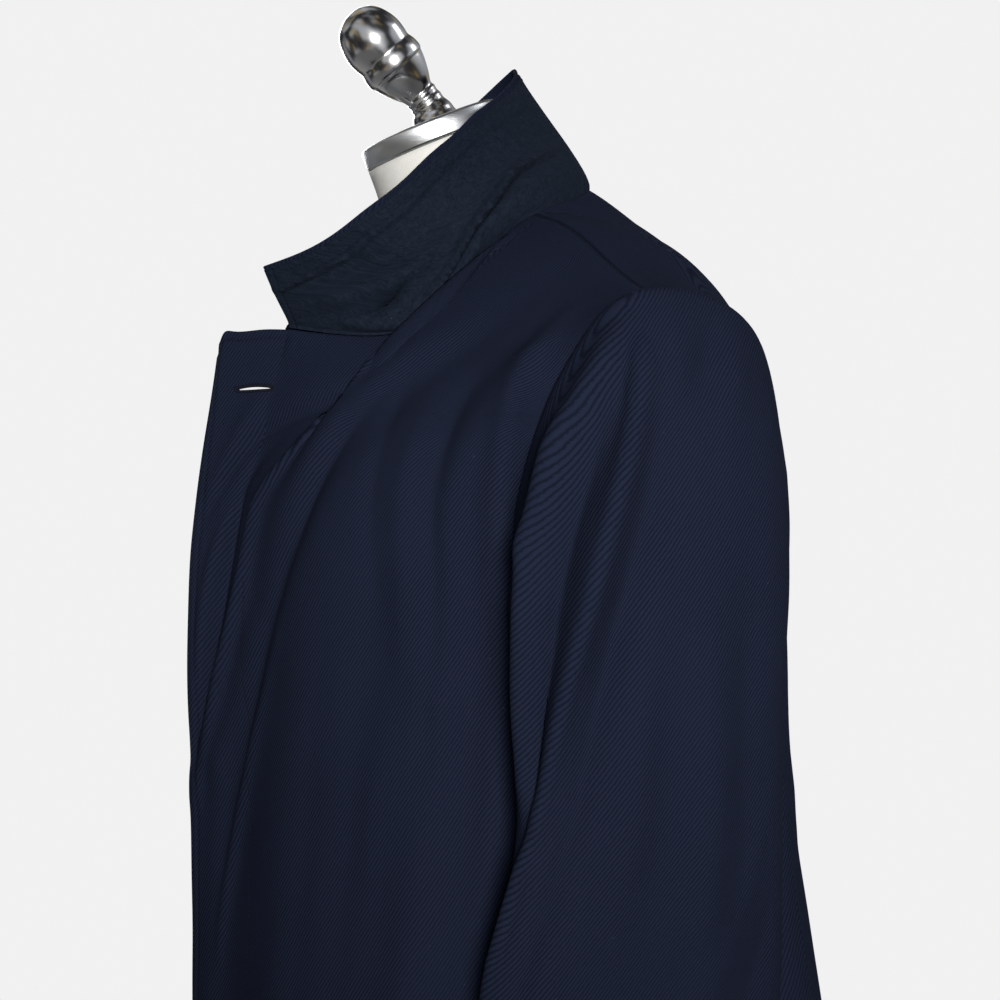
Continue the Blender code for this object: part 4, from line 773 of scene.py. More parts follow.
# ---------------------------------------------------------------- mesh building
def make_piece(name, grids, centre, mat, thick=2.0, inward=False, bevel=0.0):
    """A cloth piece. Each grid is a dict: p (rows, columns, 3) in mm, u and v in mm, and float attributes."""
    verts, faces, uvs, attrs = [], [], [], {}
    names = sorted({k for g in grids for k in g if k not in ("p", "u", "v", "cut", "c")})
    start = 0
    for g in grids:
        p = g["p"]
        nr, nc = p.shape[:2]
        n = normals(p, centre)
        fn = np.cross(p[nr // 2, nc // 2 + 1] - p[nr // 2, nc // 2], p[nr // 2 + 1, nc // 2] - p[nr // 2, nc // 2])
        flip = (fn * n[nr // 2, nc // 2]).sum() < 0
        idx = np.arange(nr * nc).reshape(nr, nc) + start
        q = np.stack([idx[:-1, :-1], idx[:-1, 1:], idx[1:, 1:], idx[1:, :-1]], -1)
        if "cut" in g:
            k, cols = g["cut"]
            kept = np.ones(q.shape[:2], bool)
            kept[k, cols[0]:cols[-1]] = False
            q = q[kept]
        q = q.reshape(-1, 4)
        faces.append(q[:, ::-1] if flip else q)
        verts.append(p.reshape(-1, 3))
        uvs.append(np.stack([g["u"].ravel(), g["v"].ravel()], 1))
        for k in names:
            attrs.setdefault(k, []).append(g[k].ravel() if k in g else np.full(nr * nc, 999.0))
        start += nr * nc
    verts, faces, uvs = np.concatenate(verts) * 0.001, np.concatenate(faces), np.concatenate(uvs) * 0.001
    attrs = {k: np.concatenate(a) for k, a in attrs.items()}
    key = np.round(verts / 2e-5).astype(np.int64)
    _, first, inv = np.unique(key, axis=0, return_index=True, return_inverse=True)
    inv = inv.reshape(-1)
    wall = thick * 0.001
    f = inv[faces]
    V = verts[first]
    # outward normals of the welded sheet
    fnrm = np.cross(V[f[:, 2]] - V[f[:, 0]], V[f[:, 3]] - V[f[:, 1]])
    vn = np.zeros_like(V)
    for k in range(4):
        np.add.at(vn, f[:, k], fnrm)
    vn /= np.maximum(np.linalg.norm(vn, axis=1), 1e-12)[:, None]
    outer, inner = (V, V - vn * wall) if inward else (V + vn * wall, V)
    e = np.concatenate([f[:, [0, 1]], f[:, [1, 2]], f[:, [2, 3]], f[:, [3, 0]]])
    es = np.sort(e, 1)
    _, ei, cnt = np.unique(es, axis=0, return_index=True, return_counts=True)
    rim = e[ei[cnt == 1]]
    rimf = np.stack([rim[:, 1], rim[:, 0], rim[:, 0] + len(V), rim[:, 1] + len(V)], 1)
    allv = np.concatenate([outer, inner])
    allf = np.concatenate([f, f[:, ::-1] + len(V), rimf])
    me = bpy.data.meshes.new(name)
    me.from_pydata(allv.tolist(), [], allf.tolist())
    o = bpy.data.objects.new(name, me)
    bpy.context.scene.collection.objects.link(o)
    lay = me.uv_layers.new(name="cloth")
    U = uvs[first]
    U = np.concatenate([U, U])
    li = np.empty(len(me.loops), np.int32)
    me.loops.foreach_get("vertex_index", li)
    lay.data.foreach_set("uv", U[li].astype(np.float32).ravel())
    for k, a in attrs.items():
        at = me.attributes.new(k, "FLOAT", "POINT")
        at.data.foreach_set("value", np.concatenate([a[first], np.full(len(first), 999.0)]).astype(np.float32))
    me.polygons.foreach_set("use_smooth", np.r_[np.ones(2 * len(f), bool), np.zeros(len(rimf), bool)])
    me.materials.append(mat)
    me.update()
    if bevel:
        o.modifiers.new("edge", "BEVEL").width = bevel * 0.001
        o.modifiers["edge"].segments = 2
        o.modifiers["edge"].limit_method = "ANGLE"
        o.modifiers["edge"].angle_limit = math.radians(60)
    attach(o, "root")
    return o


def spread(a, b, n, ends=0.45):
    t = np.linspace(0, 1, n)
    return a + (b - a) * ((1 - ends) * t + ends * (0.5 - 0.5 * np.cos(np.pi * t)))


def stitch_run(name, points, outs, pitch=3.4, length=2.5, r=0.34, sink=0.02, mat=None, gaps=()):
    """Stitches along a run of points (mm), each a small capsule lying on the cloth."""
    points, outs = np.asarray(points), np.asarray(outs)
    d = np.concatenate([[0], np.cumsum(np.linalg.norm(np.diff(points, axis=0), axis=1))])
    verts, faces = [], []
    n = int(d[-1] / pitch)
    rng = np.random.RandomState(len(points))
    for i in range(n):
        c = (i + 0.5) * pitch
        half = length / 2 * rng.uniform(0.9, 1.05)
        ts = np.array([c - half, c - half * 0.6, c + half * 0.6, c + half])
        P = np.stack([np.interp(ts, d, points[:, k]) for k in range(3)], 1)
        N = np.array([np.interp(c, d, outs[:, k]) for k in range(3)])
        N /= np.linalg.norm(N)
        T = P[3] - P[0]
        T /= max(np.linalg.norm(T), 1e-9)
        B = np.cross(N, T)
        rr = [r * 0.25, r, r, r * 0.25]
        lift = [-r * 0.6, r * 0.35, r * 0.35, -r * 0.6]
        base = len(verts)
        for j in range(4):
            for k in range(6):
                a = 2 * math.pi * k / 6
                verts.append(P[j] + N * (lift[j] - sink + math.sin(a) * rr[j] * 0.8) + B * math.cos(a) * rr[j])
        for j in range(3):
            for k in range(6):
                a, b = base + j * 6 + k, base + j * 6 + (k + 1) % 6
                faces.append((a, b, b + 6, a + 6))
        faces.append(tuple(base + k for k in range(6))[::-1])
        faces.append(tuple(base + 18 + k for k in range(6)))
    me = bpy.data.meshes.new(name)
    me.from_pydata((np.array(verts) * 0.001).tolist(), [], faces)
    me.polygons.foreach_set("use_smooth", [True] * len(me.polygons))
    me.materials.append(mat or thread_mat)
    o = bpy.data.objects.new(name, me)
    bpy.context.scene.collection.objects.link(o)
    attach(o, "root")
    return o


BODY_AXIS = (0, 20, 0)
SLIT_C, SLIT_Z, SLIT_HALF_C, SLIT_MM = 0.862, 1377.5, 0.056, 2.2
FLAT = 640.0
N_UP, N_LOW = 64, 160


def dress(side, p, g, crease_table, seed, fade):
    z = p[..., 2]
    n = normals(p, BODY_AXIS)
    h = (body_folds(side, g, z) * 0.55 - 1.6) * fade
    h = h + creases(g * FLAT, z, crease_table, FLAT) * fade
    h = h + 6.5 * np.exp(-((g - 0.06) / 0.14) ** 2) * np.exp(-((z - 1466) / 34.0) ** 2) * fade
    h = h + wander(g * FLAT, z, 95.0, seed) * 0.55 * fade
    return p + n * h[..., None]


def body_panel(side, kind):
    front = kind == "front"
    if front:
        c = np.concatenate([spread(0, NECK_C, 58, 0.5), spread(NECK_C, CF_C, 26, 0.2)[1:], spread(CF_C, 1, 34, 0.5)[1:]])
        g = LANDMARK_AT["fpitch"] + (1 - LANDMARK_AT["fpitch"]) * c
        zc, table = CHEST_F_Z, FRONT_LEFT_CREASES if side > 0 else FRONT_RIGHT_CREASES
    else:
        c = np.concatenate([spread(0, BACK_NECK_C, 54, 0.5), spread(BACK_NECK_C, 1, 50, 0.4)[1:]])
        g = LANDMARK_AT["bpitch"] * (1 - c)
        zc, table = CHEST_B_Z, BACK_CREASES
    v = spread(0, 1, N_UP, 0.35)
    slit = None
    vg = np.repeat(v[:, None], len(c), 1)
    if front and side > 0:
        probe = np.linspace(0, 0.6, 300)
        zz = upper(side, np.array([SLIT_C]), probe[:, None])[:, 0, 2]
        vs = np.interp(-SLIT_Z, -zz, probe)
        k = int(np.argmin(np.abs(v - vs)))
        per_mm = (probe[1] - probe[0]) / abs(zz[101] - zz[100])
        v[k], v[k + 1] = vs - 0.12 * per_mm, vs + 0.12 * per_mm
        v[k - 1], v[k + 2] = vs - 1.5 * per_mm, vs + 1.5 * per_mm
        v = np.maximum.accumulate(v)
        lens = np.clip(1 - ((c - SLIT_C) / SLIT_HALF_C) ** 2, 0, 1) ** 0.7 * SLIT_MM / 2 * per_mm
        side_of = np.sign(v - vs)
        vg = v[:, None] + side_of[:, None] * lens[None, :] * np.exp(-np.maximum(np.abs(v - vs) / per_mm - 0.12, 0) / 3.0)[:, None]
        slit = (k, np.where(np.abs(c - SLIT_C) < SLIT_HALF_C)[0])
    up = upper(side, c[None, :] + 0 * vg, vg, back=not front)
    z = zc + (HEM_Z - zc) * np.linspace(0, 1, N_LOW) ** 1.12
    low = section(side, g[None, :] + 0 * z[:, None], z[:, None] + 0 * g[None, :])
    main = np.concatenate([up[:-1], low], 0)
    gm = np.repeat(g[None], main.shape[0], 0)
    t = np.sin(spread(0, 1, 28, 0.0) * np.pi / 2)
    gb = LANDMARK_AT["side"] + (g[0] - LANDMARK_AT["side"]) * t
    zt = armhole_low_z(kind, t)
    zb = zt[None, :] + (HEM_Z - zt[None, :]) * (np.linspace(0, 1, N_LOW) ** 1.12)[:, None]
    gk = np.repeat(gb[None], N_LOW, 0)
    blk = section(side, gk, zb)
    # one wide grid below the chest keeps the normals and folds the same across both parts
    wide = np.concatenate([blk[:, :-1], main[N_UP - 1:]], 1)
    gw = np.concatenate([gk[:, :-1], gm[N_UP - 1:]], 1)
    wide2 = dress(side, wide, gw, table, 11 if side > 0 else 12, np.ones(wide.shape[:2]))
    vm = np.concatenate([v[:-1], np.ones(N_LOW)])
    fade = (smooth(0.0, 0.22, vm)[:, None] * np.ones(main.shape[1]))
    if front:
        fade = np.maximum(fade, (smooth(0.0, 0.06, vm)[:, None] * (c > CF_C)[None, :]))
    main2 = dress(side, main, gm, table, 11 if side > 0 else 12, fade)
    k = len(gb) - 1
    blend = smooth(0, 1, np.clip((np.arange(main.shape[0]) - (N_UP - 1)) / 8.0, 0, 1))[:, None, None]
    join = main2[N_UP - 1:] * (1 - blend[N_UP - 1:]) + wide2[:, k:] * blend[N_UP - 1:]
    main2[N_UP - 1:] = join
    blk2 = wide2[:, :k + 1].copy()
    blk2[:, -1] = main2[N_UP - 1:, 0]
    grids = []
    # distances along the cloth, from the front edge or centre back
    am, ab = arc(main2, 1), arc(blk2, 1)
    from_edge = am[:, -1:] - am
    side_len = from_edge[N_UP - 1:, :1]
    from_edge_b = side_len + (ab[:, -1:] - ab)
    vv = arc(main2, 0)
    vv = -(vv - vv[N_UP - 1])
    vb = arc(blk2, 0)
    vb = -(vb - vb[:1]) + 0
    vb = vb + (vv[N_UP - 1, 0] - 0) - (blk2[0, -1, 2] - blk2[0, :, 2])[None, :]
    sign = 1 if (side > 0) == front else -1
    top = arc(main2, 0)
    seam_m = np.full(main2.shape[:2], 999.0)
    arm = arc(main2, 1)
    up_rows = np.zeros(main2.shape[:2], bool)
    up_rows[:N_UP] = True
    seam_m = np.where(up_rows, np.minimum(arm, 999.0), 999.0)
    seam_m = np.minimum(seam_m, np.where((c < (NECK_C if front else BACK_NECK_C))[None, :], top, 999.0))
    if not front:
        seam_m = np.minimum(seam_m, from_edge)
    seam_b = np.minimum(ab, np.broadcast_to(arc(blk2, 0), ab.shape))
    gu, gv = grain(main, BODY_AXIS, -1, N_UP - 1)
    bu, bv = grain(blk, BODY_AXIS, -1, 0)
    bu = bu + gu[N_UP - 1:, :1]
    bv = bv + (blk[0, :, 2] - zc)[None, :]
    gm_d = {"p": main2, "u": gu, "v": gv, "seam_mm": seam_m}
    gb_d = {"p": blk2, "u": bu, "v": bv, "seam_mm": seam_b}
    if slit is not None:
        gm_d["cut"] = slit
    gm_d["c"] = c
    if front:
        gm_d["edge_mm"], gb_d["edge_mm"] = from_edge, from_edge_b
        gm_d["top_mm"] = np.where((c > CF_C + 0.012)[None, :], top, 999.0)
        run = FLY_STITCH + 4.0 * np.sin(vv / 60.0) * smooth(0, 200, -vv)
        gm_d["fly_mm"] = np.where(main2[..., 2] < 1252, from_edge - run, 999.0)
        gb_d["top_mm"] = gb_d["fly_mm"] = np.full(blk2.shape[:2], 999.0)
    return gm_d, gb_d


PIECES = {}
PANELS = {}
for side, word in ((1, "left"), (-1, "right")):
    for kind in ("front", "back"):
        gm_d, gb_d = body_panel(side, kind)
        PANELS[kind, side] = (gm_d, gb_d)
        name = "cloth_%s_%s" % (kind, word)
        o = make_piece(name, [gm_d, gb_d], BODY_AXIS, wool_front if kind == "front" else wool_plain, thick=2.2)
        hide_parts("coat_%s_%s" % (kind, word))
        PIECES[kind, side] = o

# ---- sleeves


def sleeve_piece(side, a0, a1, n, name, node):
    at = spread(a0, a1, n, 0.45)
    v = np.concatenate([spread(0, 1, 62, 0.3), 1 + np.linspace(0, 1, 92)[1:]])
    p = sleeve(side, at[None, :], v[:, None], lift=0.6)
    z = p[..., 2]
    A = np.repeat(at[None] % 1.0, len(v), 0)
    fade = smooth(0.02, 0.40, v)[:, None]
    h = (sleeve_folds(A, z) * 0.55 - 1.6) * fade
    h = h + creases(A * 420.0, z, SLEEVE_CREASES, 420.0) * fade * (1 - 0.9 * smooth(0.985, 1.0, v / 2)[:, None])
    h = h + wander(A * 420.0, z, 70.0, 21 if side > 0 else 22) * 0.5 * fade
    # the head of the sleeve rolls over its seam, and the seam itself is drawn in
    ring = arc(p, 0)
    crown = np.exp(-((A - 0.25) / 0.22) ** 2)
    h = h + crown * 2.2 * np.exp(-((ring - 9.0) / 8.0) ** 2) - 0.8 * np.exp(-(ring / 3.0) ** 2)
    across = arc(p, 1)
    gap = np.minimum(across, across[:, -1:] - across)
    h = h - 0.9 * np.exp(-(gap / 2.6) ** 2)
    n_ = normals(p, (side * 250, 40, 0))
    up_mask = v < 1
    p2 = p + n_ * h[..., None]
    u, vv = grain(p, (side * 250, 40, 0), int(np.argmin(np.abs(at - (0.25 if a0 < 0.25 else 0.75)))), 61)
    g = {"p": p2, "u": u, "v": vv, "seam_mm": gap}
    o = make_piece(name, [g], (side * 250, 40, 0), wool_sleeve, thick=2.2)
    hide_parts(node)
    return o, g


def A_arc(p, at):
    a = arc(p, 1)
    k = int(np.argmin(np.abs(at - 0.25)))
    return a - a[:, k:k + 1]


for side, word in ((1, "left"), (-1, "right")):
    PIECES["top", side], g = sleeve_piece(side, SLEEVE_BACK_SEAM - 1, SLEEVE_IN_SEAM, 112, "cloth_sleeve_%s_top" % word, "sleeve_%s_top" % word)
    PIECES["under", side], g = sleeve_piece(side, SLEEVE_IN_SEAM, SLEEVE_BACK_SEAM, 44, "cloth_sleeve_%s_under" % word, "sleeve_%s_under" % word)

# ---- collar
COLLAR_N = 260


def collar_points(v, sink=0.0):
    s_half = spread(1, 0, COLLAR_N // 2, 0.35)
    s = np.concatenate([s_half, s_half[::-1][1:]])
    sd = np.concatenate([-np.ones(COLLAR_N // 2), np.ones(COLLAR_N // 2 - 1)])
    left = collar(1, s[sd > 0][None, :], v[:, None])
    right = collar(-1, s[sd < 0][None, :], v[:, None])
    p = np.concatenate([right, left], 1)
    S = np.repeat(s[None], len(v), 0)
    V = np.repeat(v[:, None], len(s), 1)
    return p, S, V, sd


v_c = spread(-0.035, 1.0, 56, 0.5)
cp, cs, cv, csd = collar_points(np.maximum(v_c, 0.0))
below = np.minimum(v_c, 0.0)[:, None, None] * np.array([0, 0, 90.0])
cp = cp + below
cn = normals(cp, (0, -20, 0))
LENGTH_S, LENGTH_V = 250.0, 95.0
bump_c = 4.6 * creases(cs * LENGTH_S, cv * LENGTH_V, [([(a, b * LENGTH_V, h) for a, b, h in pts], w) for pts, w in COLLAR_CREASES], LENGTH_S)
bump_c += wander(cs * LENGTH_S + 40 * csd[None, :], cv * LENGTH_V, 42.0, 5) * 0.30
# the edge is a touch fuller than the field, where the cloth is turned over it
dist_edge = arc(cp, 0)
dist_edge = dist_edge[-1:] - dist_edge
dist_end = arc(cp, 1)
dist_end = np.minimum(dist_end, dist_end[:, -1:] - dist_end)
cp_mid = cp + cn * bump_c[..., None]
collar_u = arc(cp_mid, 1)
collar_v = -arc(cp_mid, 0)
keep = np.where(v_c < 0.962)[0]
felt_p = cp_mid[keep] + cn[keep] * 0.35
end_inset = 2.2
felt_g = {"p": felt_p, "u": collar_u[keep], "v": collar_v[keep], "edge_mm": dist_edge[keep], "end_mm": dist_end[keep]}
felt_o = make_piece("cloth_undercollar", [felt_g], (0, -20, 0), felt_mat, thick=1.7, bevel=0.25)
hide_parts("undercollar")
# the self cloth runs inside and is turned over the edge, as a thin rim that shows
lip = np.exp(-(dist_edge / 4.0) ** 2)
self_p = cp_mid + cn * (lip * 1.5)[..., None]
self_g = {"p": self_p, "u": collar_u, "v": collar_v}
self_o = make_piece("cloth_top_collar", [self_g], (0, -20, 0), wool_collar, thick=2.2, inward=True, bevel=0.7)
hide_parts("top_collar")

# ---------------------------------------------------------------- stitches
fl = PANELS["front", 1][0]


def line_at(g, key, value, rows, wall=2.2, centre=BODY_AXIS):
    n = normals(g["p"], centre)
    pts, outs = [], []
    for r in rows:
        d = g[key][r]
        order = np.argsort(d)
        if not (d[order[0]] <= value <= d[order[-1]]):
            continue
        pts.append([np.interp(value, d[order], (g["p"][r] + n[r] * wall)[order, k]) for k in range(3)])
        outs.append([np.interp(value, d[order], n[r][order, k]) for k in range(3)])
    return pts, outs


for side, word in ((1, "left"), (-1, "right")):
    g = PANELS["front", side][0]
    pts, outs = line_at(g, "edge_mm", EDGE_STITCH, range(3, g["p"].shape[0] - 1))
    o = stitch_run("stitch_edge_" + word, pts, outs)
    # along the top edge
    n = normals(g["p"], BODY_AXIS)
    top = arc(g["p"], 0)
    cols = [k for k in range(g["p"].shape[1]) if g["edge_mm"][4, k] > 5.5 and g["top_mm"][2, k] < 900]
    pts = [[np.interp(EDGE_STITCH, top[:, k], g["p"][:, k, q] + n[:, k, q] * 2.2) for q in range(3)] for k in cols]
    outs = [[np.interp(EDGE_STITCH, top[:, k], n[:, k, q]) for q in range(3)] for k in cols]
    o = stitch_run("stitch_top_" + word, pts, outs)
    if side > 0:
        pts, outs = [], []
        for r in range(N_UP, g["p"].shape[0] - 1):
            d = g["fly_mm"][r]
            if d.max() > 900 and (d < 900).sum() < 10:
                continue
            kk = np.where(d < 900)[0]
            if len(kk) < 4:
                continue
            order = kk[np.argsort(d[kk])]
            pts.append([np.interp(0.0, d[order], g["p"][r][order, q] + n[r][order, q] * 2.2) for q in range(3)])
            outs.append([np.interp(0.0, d[order], n[r][order, q]) for q in range(3)])
        o = stitch_run("stitch_fly", pts, outs)

cn2 = normals(felt_p, (0, -20, 0))
rows_edge = felt_g["edge_mm"]
pts, outs = [], []
for k in range(6, felt_p.shape[1] - 6):
    d = rows_edge[:, k]
    order = np.argsort(d)
    pts.append([np.interp(7.6, d[order], (felt_p[:, k] + cn2[:, k] * 1.7)[order, q]) for q in range(3)])
    outs.append([np.interp(7.6, d[order], cn2[:, k][order, q]) for q in range(3)])
o = stitch_run("stitch_collar_edge", pts, outs, r=0.3)
for word, ks in (("left", range(felt_p.shape[1] - 1, felt_p.shape[1] // 2, -1)), ("right", range(0, felt_p.shape[1] // 2))):
    pts, outs = [], []
    for r in range(3, felt_p.shape[0] - 2):
        if rows_edge[r, -8 if word == "left" else 8] < 7.6:
            continue
        ks_l = list(ks)[:40]
        d = felt_g["end_mm"][r, ks_l]
        pts.append([np.interp(6.4, d, (felt_p[r, ks_l] + cn2[r, ks_l] * 1.7)[:, q]) for q in range(3)])
        outs.append([np.interp(6.4, d, cn2[r, ks_l][:, q]) for q in range(3)])
    o = stitch_run("stitch_collar_end_" + word, pts, outs, r=0.3)

# the buttonhole's worked edge and the bar tacks
g = PANELS["front", 1][0]
n = normals(g["p"], BODY_AXIS)
k0, cols = g["cut"]


def satin(name, starts, ends, outs, r=0.36):
    verts, faces = [], []
    for A, B, N in zip(starts, ends, outs):
        T = B - A
        L = np.linalg.norm(T)
        T = T / L
        S = np.cross(N, T)
        base = len(verts)
        for t, rr, up in ((0.0, 0.5, -0.5), (0.12, 0.9, 0.35), (0.5, 1.0, 0.6), (0.88, 0.9, 0.35), (1.0, 0.5, -0.5)):
            for q in range(6):
                a = 2 * math.pi * q / 6
                verts.append(A + T * L * t + N * (up * r + math.sin(a) * r * rr) + S * math.cos(a) * r * rr)
        for j in range(4):
            for q in range(6):
                a, b = base + j * 6 + q, base + j * 6 + (q + 1) % 6
                faces.append((a, b, b + 6, a + 6))
        faces.append(tuple(base + q for q in range(6))[::-1])
        faces.append(tuple(base + 24 + q for q in range(6)))
    me = bpy.data.meshes.new(name)
    me.from_pydata((np.array(verts) * 0.001).tolist(), [], faces)
    me.polygons.foreach_set("use_smooth", [True] * len(me.polygons))
    me.materials.append(thread_mat)
    o = bpy.data.objects.new(name, me)
    bpy.context.scene.collection.objects.link(o)
    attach(o, "root")
    return o


def row_point(r, f):
    i = int(min(max(math.floor(f), 0), g["p"].shape[1] - 2))
    t = f - i
    return g["p"][r, i] * (1 - t) + g["p"][r, i + 1] * t, n[r, i] * (1 - t) + n[r, i + 1] * t


A, B, N = [], [], []
cc = g["c"]
lo, hi = cols[0] - 0.6, cols[-1] + 0.6
length = np.linalg.norm(g["p"][k0, cols[-1]] - g["p"][k0, cols[0]])
count = int(length / 0.62)
for r, step in ((k0, -1), (k0 + 1, 1)):
    for f in np.linspace(lo, hi, count):
        p0, nn = row_point(r, f)
        p1, _ = row_point(r + 3 * step, f)
        d = (p1 - p0) / np.linalg.norm(p1 - p0)
        A.append(p0 - d * 0.25 + nn * 2.2)
        B.append(p0 + d * 2.1 + nn * 2.2)
        N.append(nn)
# the two ends: a fan at the eye near the front edge, a bar at the other
for f, s_ in ((hi, 1), (lo, -1)):
    p0, nn = row_point(k0, f)
    pa, _ = row_point(k0, f + s_ * 1.5)
    along = (pa - p0) / np.linalg.norm(pa - p0)
    upv = np.cross(nn, along)
    for ang in np.linspace(-1.35, 1.35, 9):
        d = along * math.cos(ang) + upv * math.sin(ang)
        A.append(p0 + d * 0.2 + nn * 2.2)
        B.append(p0 + d * 2.3 + nn * 2.2)
        N.append(nn)
satin("stitch_buttonhole", A, B, N)

# ---------------------------------------------------------------- the dress form, its stand and the buttons


def linen_material():
    m, nt, b = new_material("linen")
    tc = nt.nodes.new("ShaderNodeTexCoord")
    v = tc.outputs["Object"]
    sep = nt.nodes.new("ShaderNodeSeparateXYZ")
    nt.links.new(v, sep.inputs[0])
    ang = math_node(nt, "ARCTAN2", sep.outputs[1], sep.outputs[0])
    wob = noise(nt, v, 220.0, 2.0)
    a = math_node(nt, "SINE", math_node(nt, "ADD", math_node(nt, "MULTIPLY", ang, 330.0), math_node(nt, "MULTIPLY", wob, 3.0)))
    c = math_node(nt, "SINE", math_node(nt, "ADD", math_node(nt, "MULTIPLY", sep.outputs[2], 2 * math.pi / 0.0010), math_node(nt, "MULTIPLY", wob, 3.0)))
    weave = math_node(nt, "MULTIPLY", math_node(nt, "ADD", a, c), 0.25)
    slub = noise(nt, v, 90.0, 4.0, 0.7)
    shade = math_node(nt, "ADD", math_node(nt, "MULTIPLY", weave, 0.5), slub)
    ramp = nt.nodes.new("ShaderNodeValToRGB")
    ramp.color_ramp.elements[0].position = 0.1
    ramp.color_ramp.elements[0].color = (0.70, 0.695, 0.655, 1)
    ramp.color_ramp.elements[1].position = 0.9
    ramp.color_ramp.elements[1].color = (0.84, 0.835, 0.795, 1)
    nt.links.new(shade, ramp.inputs[0])
    nt.links.new(ramp.outputs[0], b.inputs["Base Color"])
    b.inputs["Roughness"].default_value = 0.85
    b.inputs["Specular IOR Level"].default_value = 0.2
    bump = nt.nodes.new("ShaderNodeBump")
    bump.inputs["Strength"].default_value = 0.7
    bump.inputs["Distance"].default_value = 0.00015
    nt.links.new(shade, bump.inputs["Height"])
    nt.links.new(bump.outputs["Normal"], b.inputs["Normal"])
    return m


def metal_material(name, colour, rough, brushed=False):
    m, nt, b = new_material(name)
    tc = nt.nodes.new("ShaderNodeTexCoord")
    v = tc.outputs["Object"]
    b.inputs["Metallic"].default_value = 1.0
    b.inputs["Base Color"].default_value = colour + (1,)
    big = noise(nt, v, 30.0, 3.0)
    tint = mix_colour(nt, math_node(nt, "MULTIPLY", big, 0.35), colour + (1,), tuple(c * 0.82 for c in colour) + (1,))
    nt.links.new(tint, b.inputs["Base Color"])
    if brushed:
        sep = nt.nodes.new("ShaderNodeSeparateXYZ")
        nt.links.new(v, sep.inputs[0])
        comb = nt.nodes.new("ShaderNodeCombineXYZ")
        nt.links.new(math_node(nt, "MULTIPLY", sep.outputs[2], 40.0), comb.inputs[2])
        nt.links.new(sep.outputs[0], comb.inputs[0])
        nt.links.new(sep.outputs[1], comb.inputs[1])
        line = noise(nt, comb.outputs[0], 60.0, 4.0, 0.7)
        b.inputs["Roughness"].default_value = rough
        bump = nt.nodes.new("ShaderNodeBump")
        bump.inputs["Strength"].default_value = 0.5
        bump.inputs["Distance"].default_value = 0.00015
        nt.links.new(line, bump.inputs["Height"])
        nt.links.new(bump.outputs["Normal"], b.inputs["Normal"])
    else:
        smear = noise(nt, v, 140.0, 3.0)
        nt.links.new(math_node(nt, "MULTIPLY_ADD", smear, 0.10, rough), b.inputs["Roughness"])
        pit = noise(nt, v, 60.0, 3.0)
        bump = nt.nodes.new("ShaderNodeBump")
        bump.inputs["Strength"].default_value = 0.35
        bump.inputs["Distance"].default_value = 0.0004
        nt.links.new(pit, bump.inputs["Height"])
        nt.links.new(bump.outputs["Normal"], b.inputs["Normal"])
    return m


def plain_material(name, colour, rough):
    m, nt, b = new_material(name)
    tc = nt.nodes.new("ShaderNodeTexCoord")
    v = tc.outputs["Object"]
    q = noise(nt, v, 120.0, 4.0, 0.6)
    tint = mix_colour(nt, q, tuple(c * 0.7 for c in colour) + (1,), tuple(min(1, c * 1.3) for c in colour) + (1,))
    nt.links.new(tint, b.inputs["Base Color"])
    b.inputs["Roughness"].default_value = rough
    bump = nt.nodes.new("ShaderNodeBump")
    bump.inputs["Strength"].default_value = 0.3
    bump.inputs["Distance"].default_value = 0.0003
    nt.links.new(q, bump.inputs["Height"])
    nt.links.new(bump.outputs["Normal"], b.inputs["Normal"])
    return m


linen = linen_material()
nickel = metal_material("polished_nickel", (0.60, 0.60, 0.605), 0.15)
ring_metal = metal_material("brushed_ring", (0.62, 0.64, 0.66), 0.34, True)
ring_metal.node_tree.nodes["Principled BSDF"].inputs["Anisotropic"].default_value = 0.6
paint = plain_material("stand_paint", (0.045, 0.045, 0.048), 0.45)
horn = plain_material("horn", (0.016, 0.014, 0.013), 0.28)
for name, m in (("form_torso", linen), ("form_finial", nickel), ("form_neck_cap", ring_metal), ("stand_pole", paint), ("stand_base", paint), ("button_1", horn), ("button_2", horn), ("button_3", horn), ("button_4", horn)):
    o = bpy.data.objects.get(name)
    if o is None:
        for q in bpy.data.objects:
            if q.type == "MESH" and (q.name.endswith(name) or q.name.startswith(name)):
                o = q
    o.data.materials.clear()
    o.data.materials.append(m)
    if name in ("form_torso", "form_finial", "form_neck_cap", "stand_pole", "stand_base"):
        for poly in o.data.polygons:
            poly.use_smooth = True


# ---- the form's body: the same rings, drawn round and fair, under linen
rows = np.array(FORM_ROWS, float)
ROUND, RINGS = 120, 160
heights = np.linspace(rows[0, 0], rows[-1, 0], RINGS)
fair = np.concatenate([heights[:, None], basis(rows[:, 0], heights) @ rows[:, 1:]], 1)
verts, faces = [], []
for z, cy, hw, df, db, lean in fair:
    t = math.radians(lean)
    for k in range(ROUND):
        a = 2 * math.pi * k / ROUND
        round_ = min(max((z - 1420) / 80, 0), 1)
        x = hw * math.copysign(abs(math.cos(a)) ** (0.85 + 0.15 * round_), math.cos(a))
        q = math.copysign(abs(math.sin(a)) ** (0.92 + 0.08 * round_), math.sin(a)) * (db if math.sin(a) > 0 else df)
        verts.append((x * 0.001, (cy + q * math.cos(t)) * 0.001, (z + q * math.sin(t)) * 0.001))
for i in range(RINGS - 1):
    for k in range(ROUND):
        a, b = i * ROUND + k, i * ROUND + (k + 1) % ROUND
        faces.append((a, b, b + ROUND, a + ROUND))
faces.append(tuple(range(ROUND))[::-1])
faces.append(tuple((RINGS - 1) * ROUND + k for k in range(ROUND)))
me = bpy.data.meshes.new("linen_body")
me.from_pydata(verts, [], faces)
me.polygons.foreach_set("use_smooth", [i < (RINGS - 1) * ROUND for i in range(len(me.polygons))])
me.materials.append(linen)
body_o = bpy.data.objects.new("linen_body", me)
bpy.context.scene.collection.objects.link(body_o)
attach(body_o, "root")
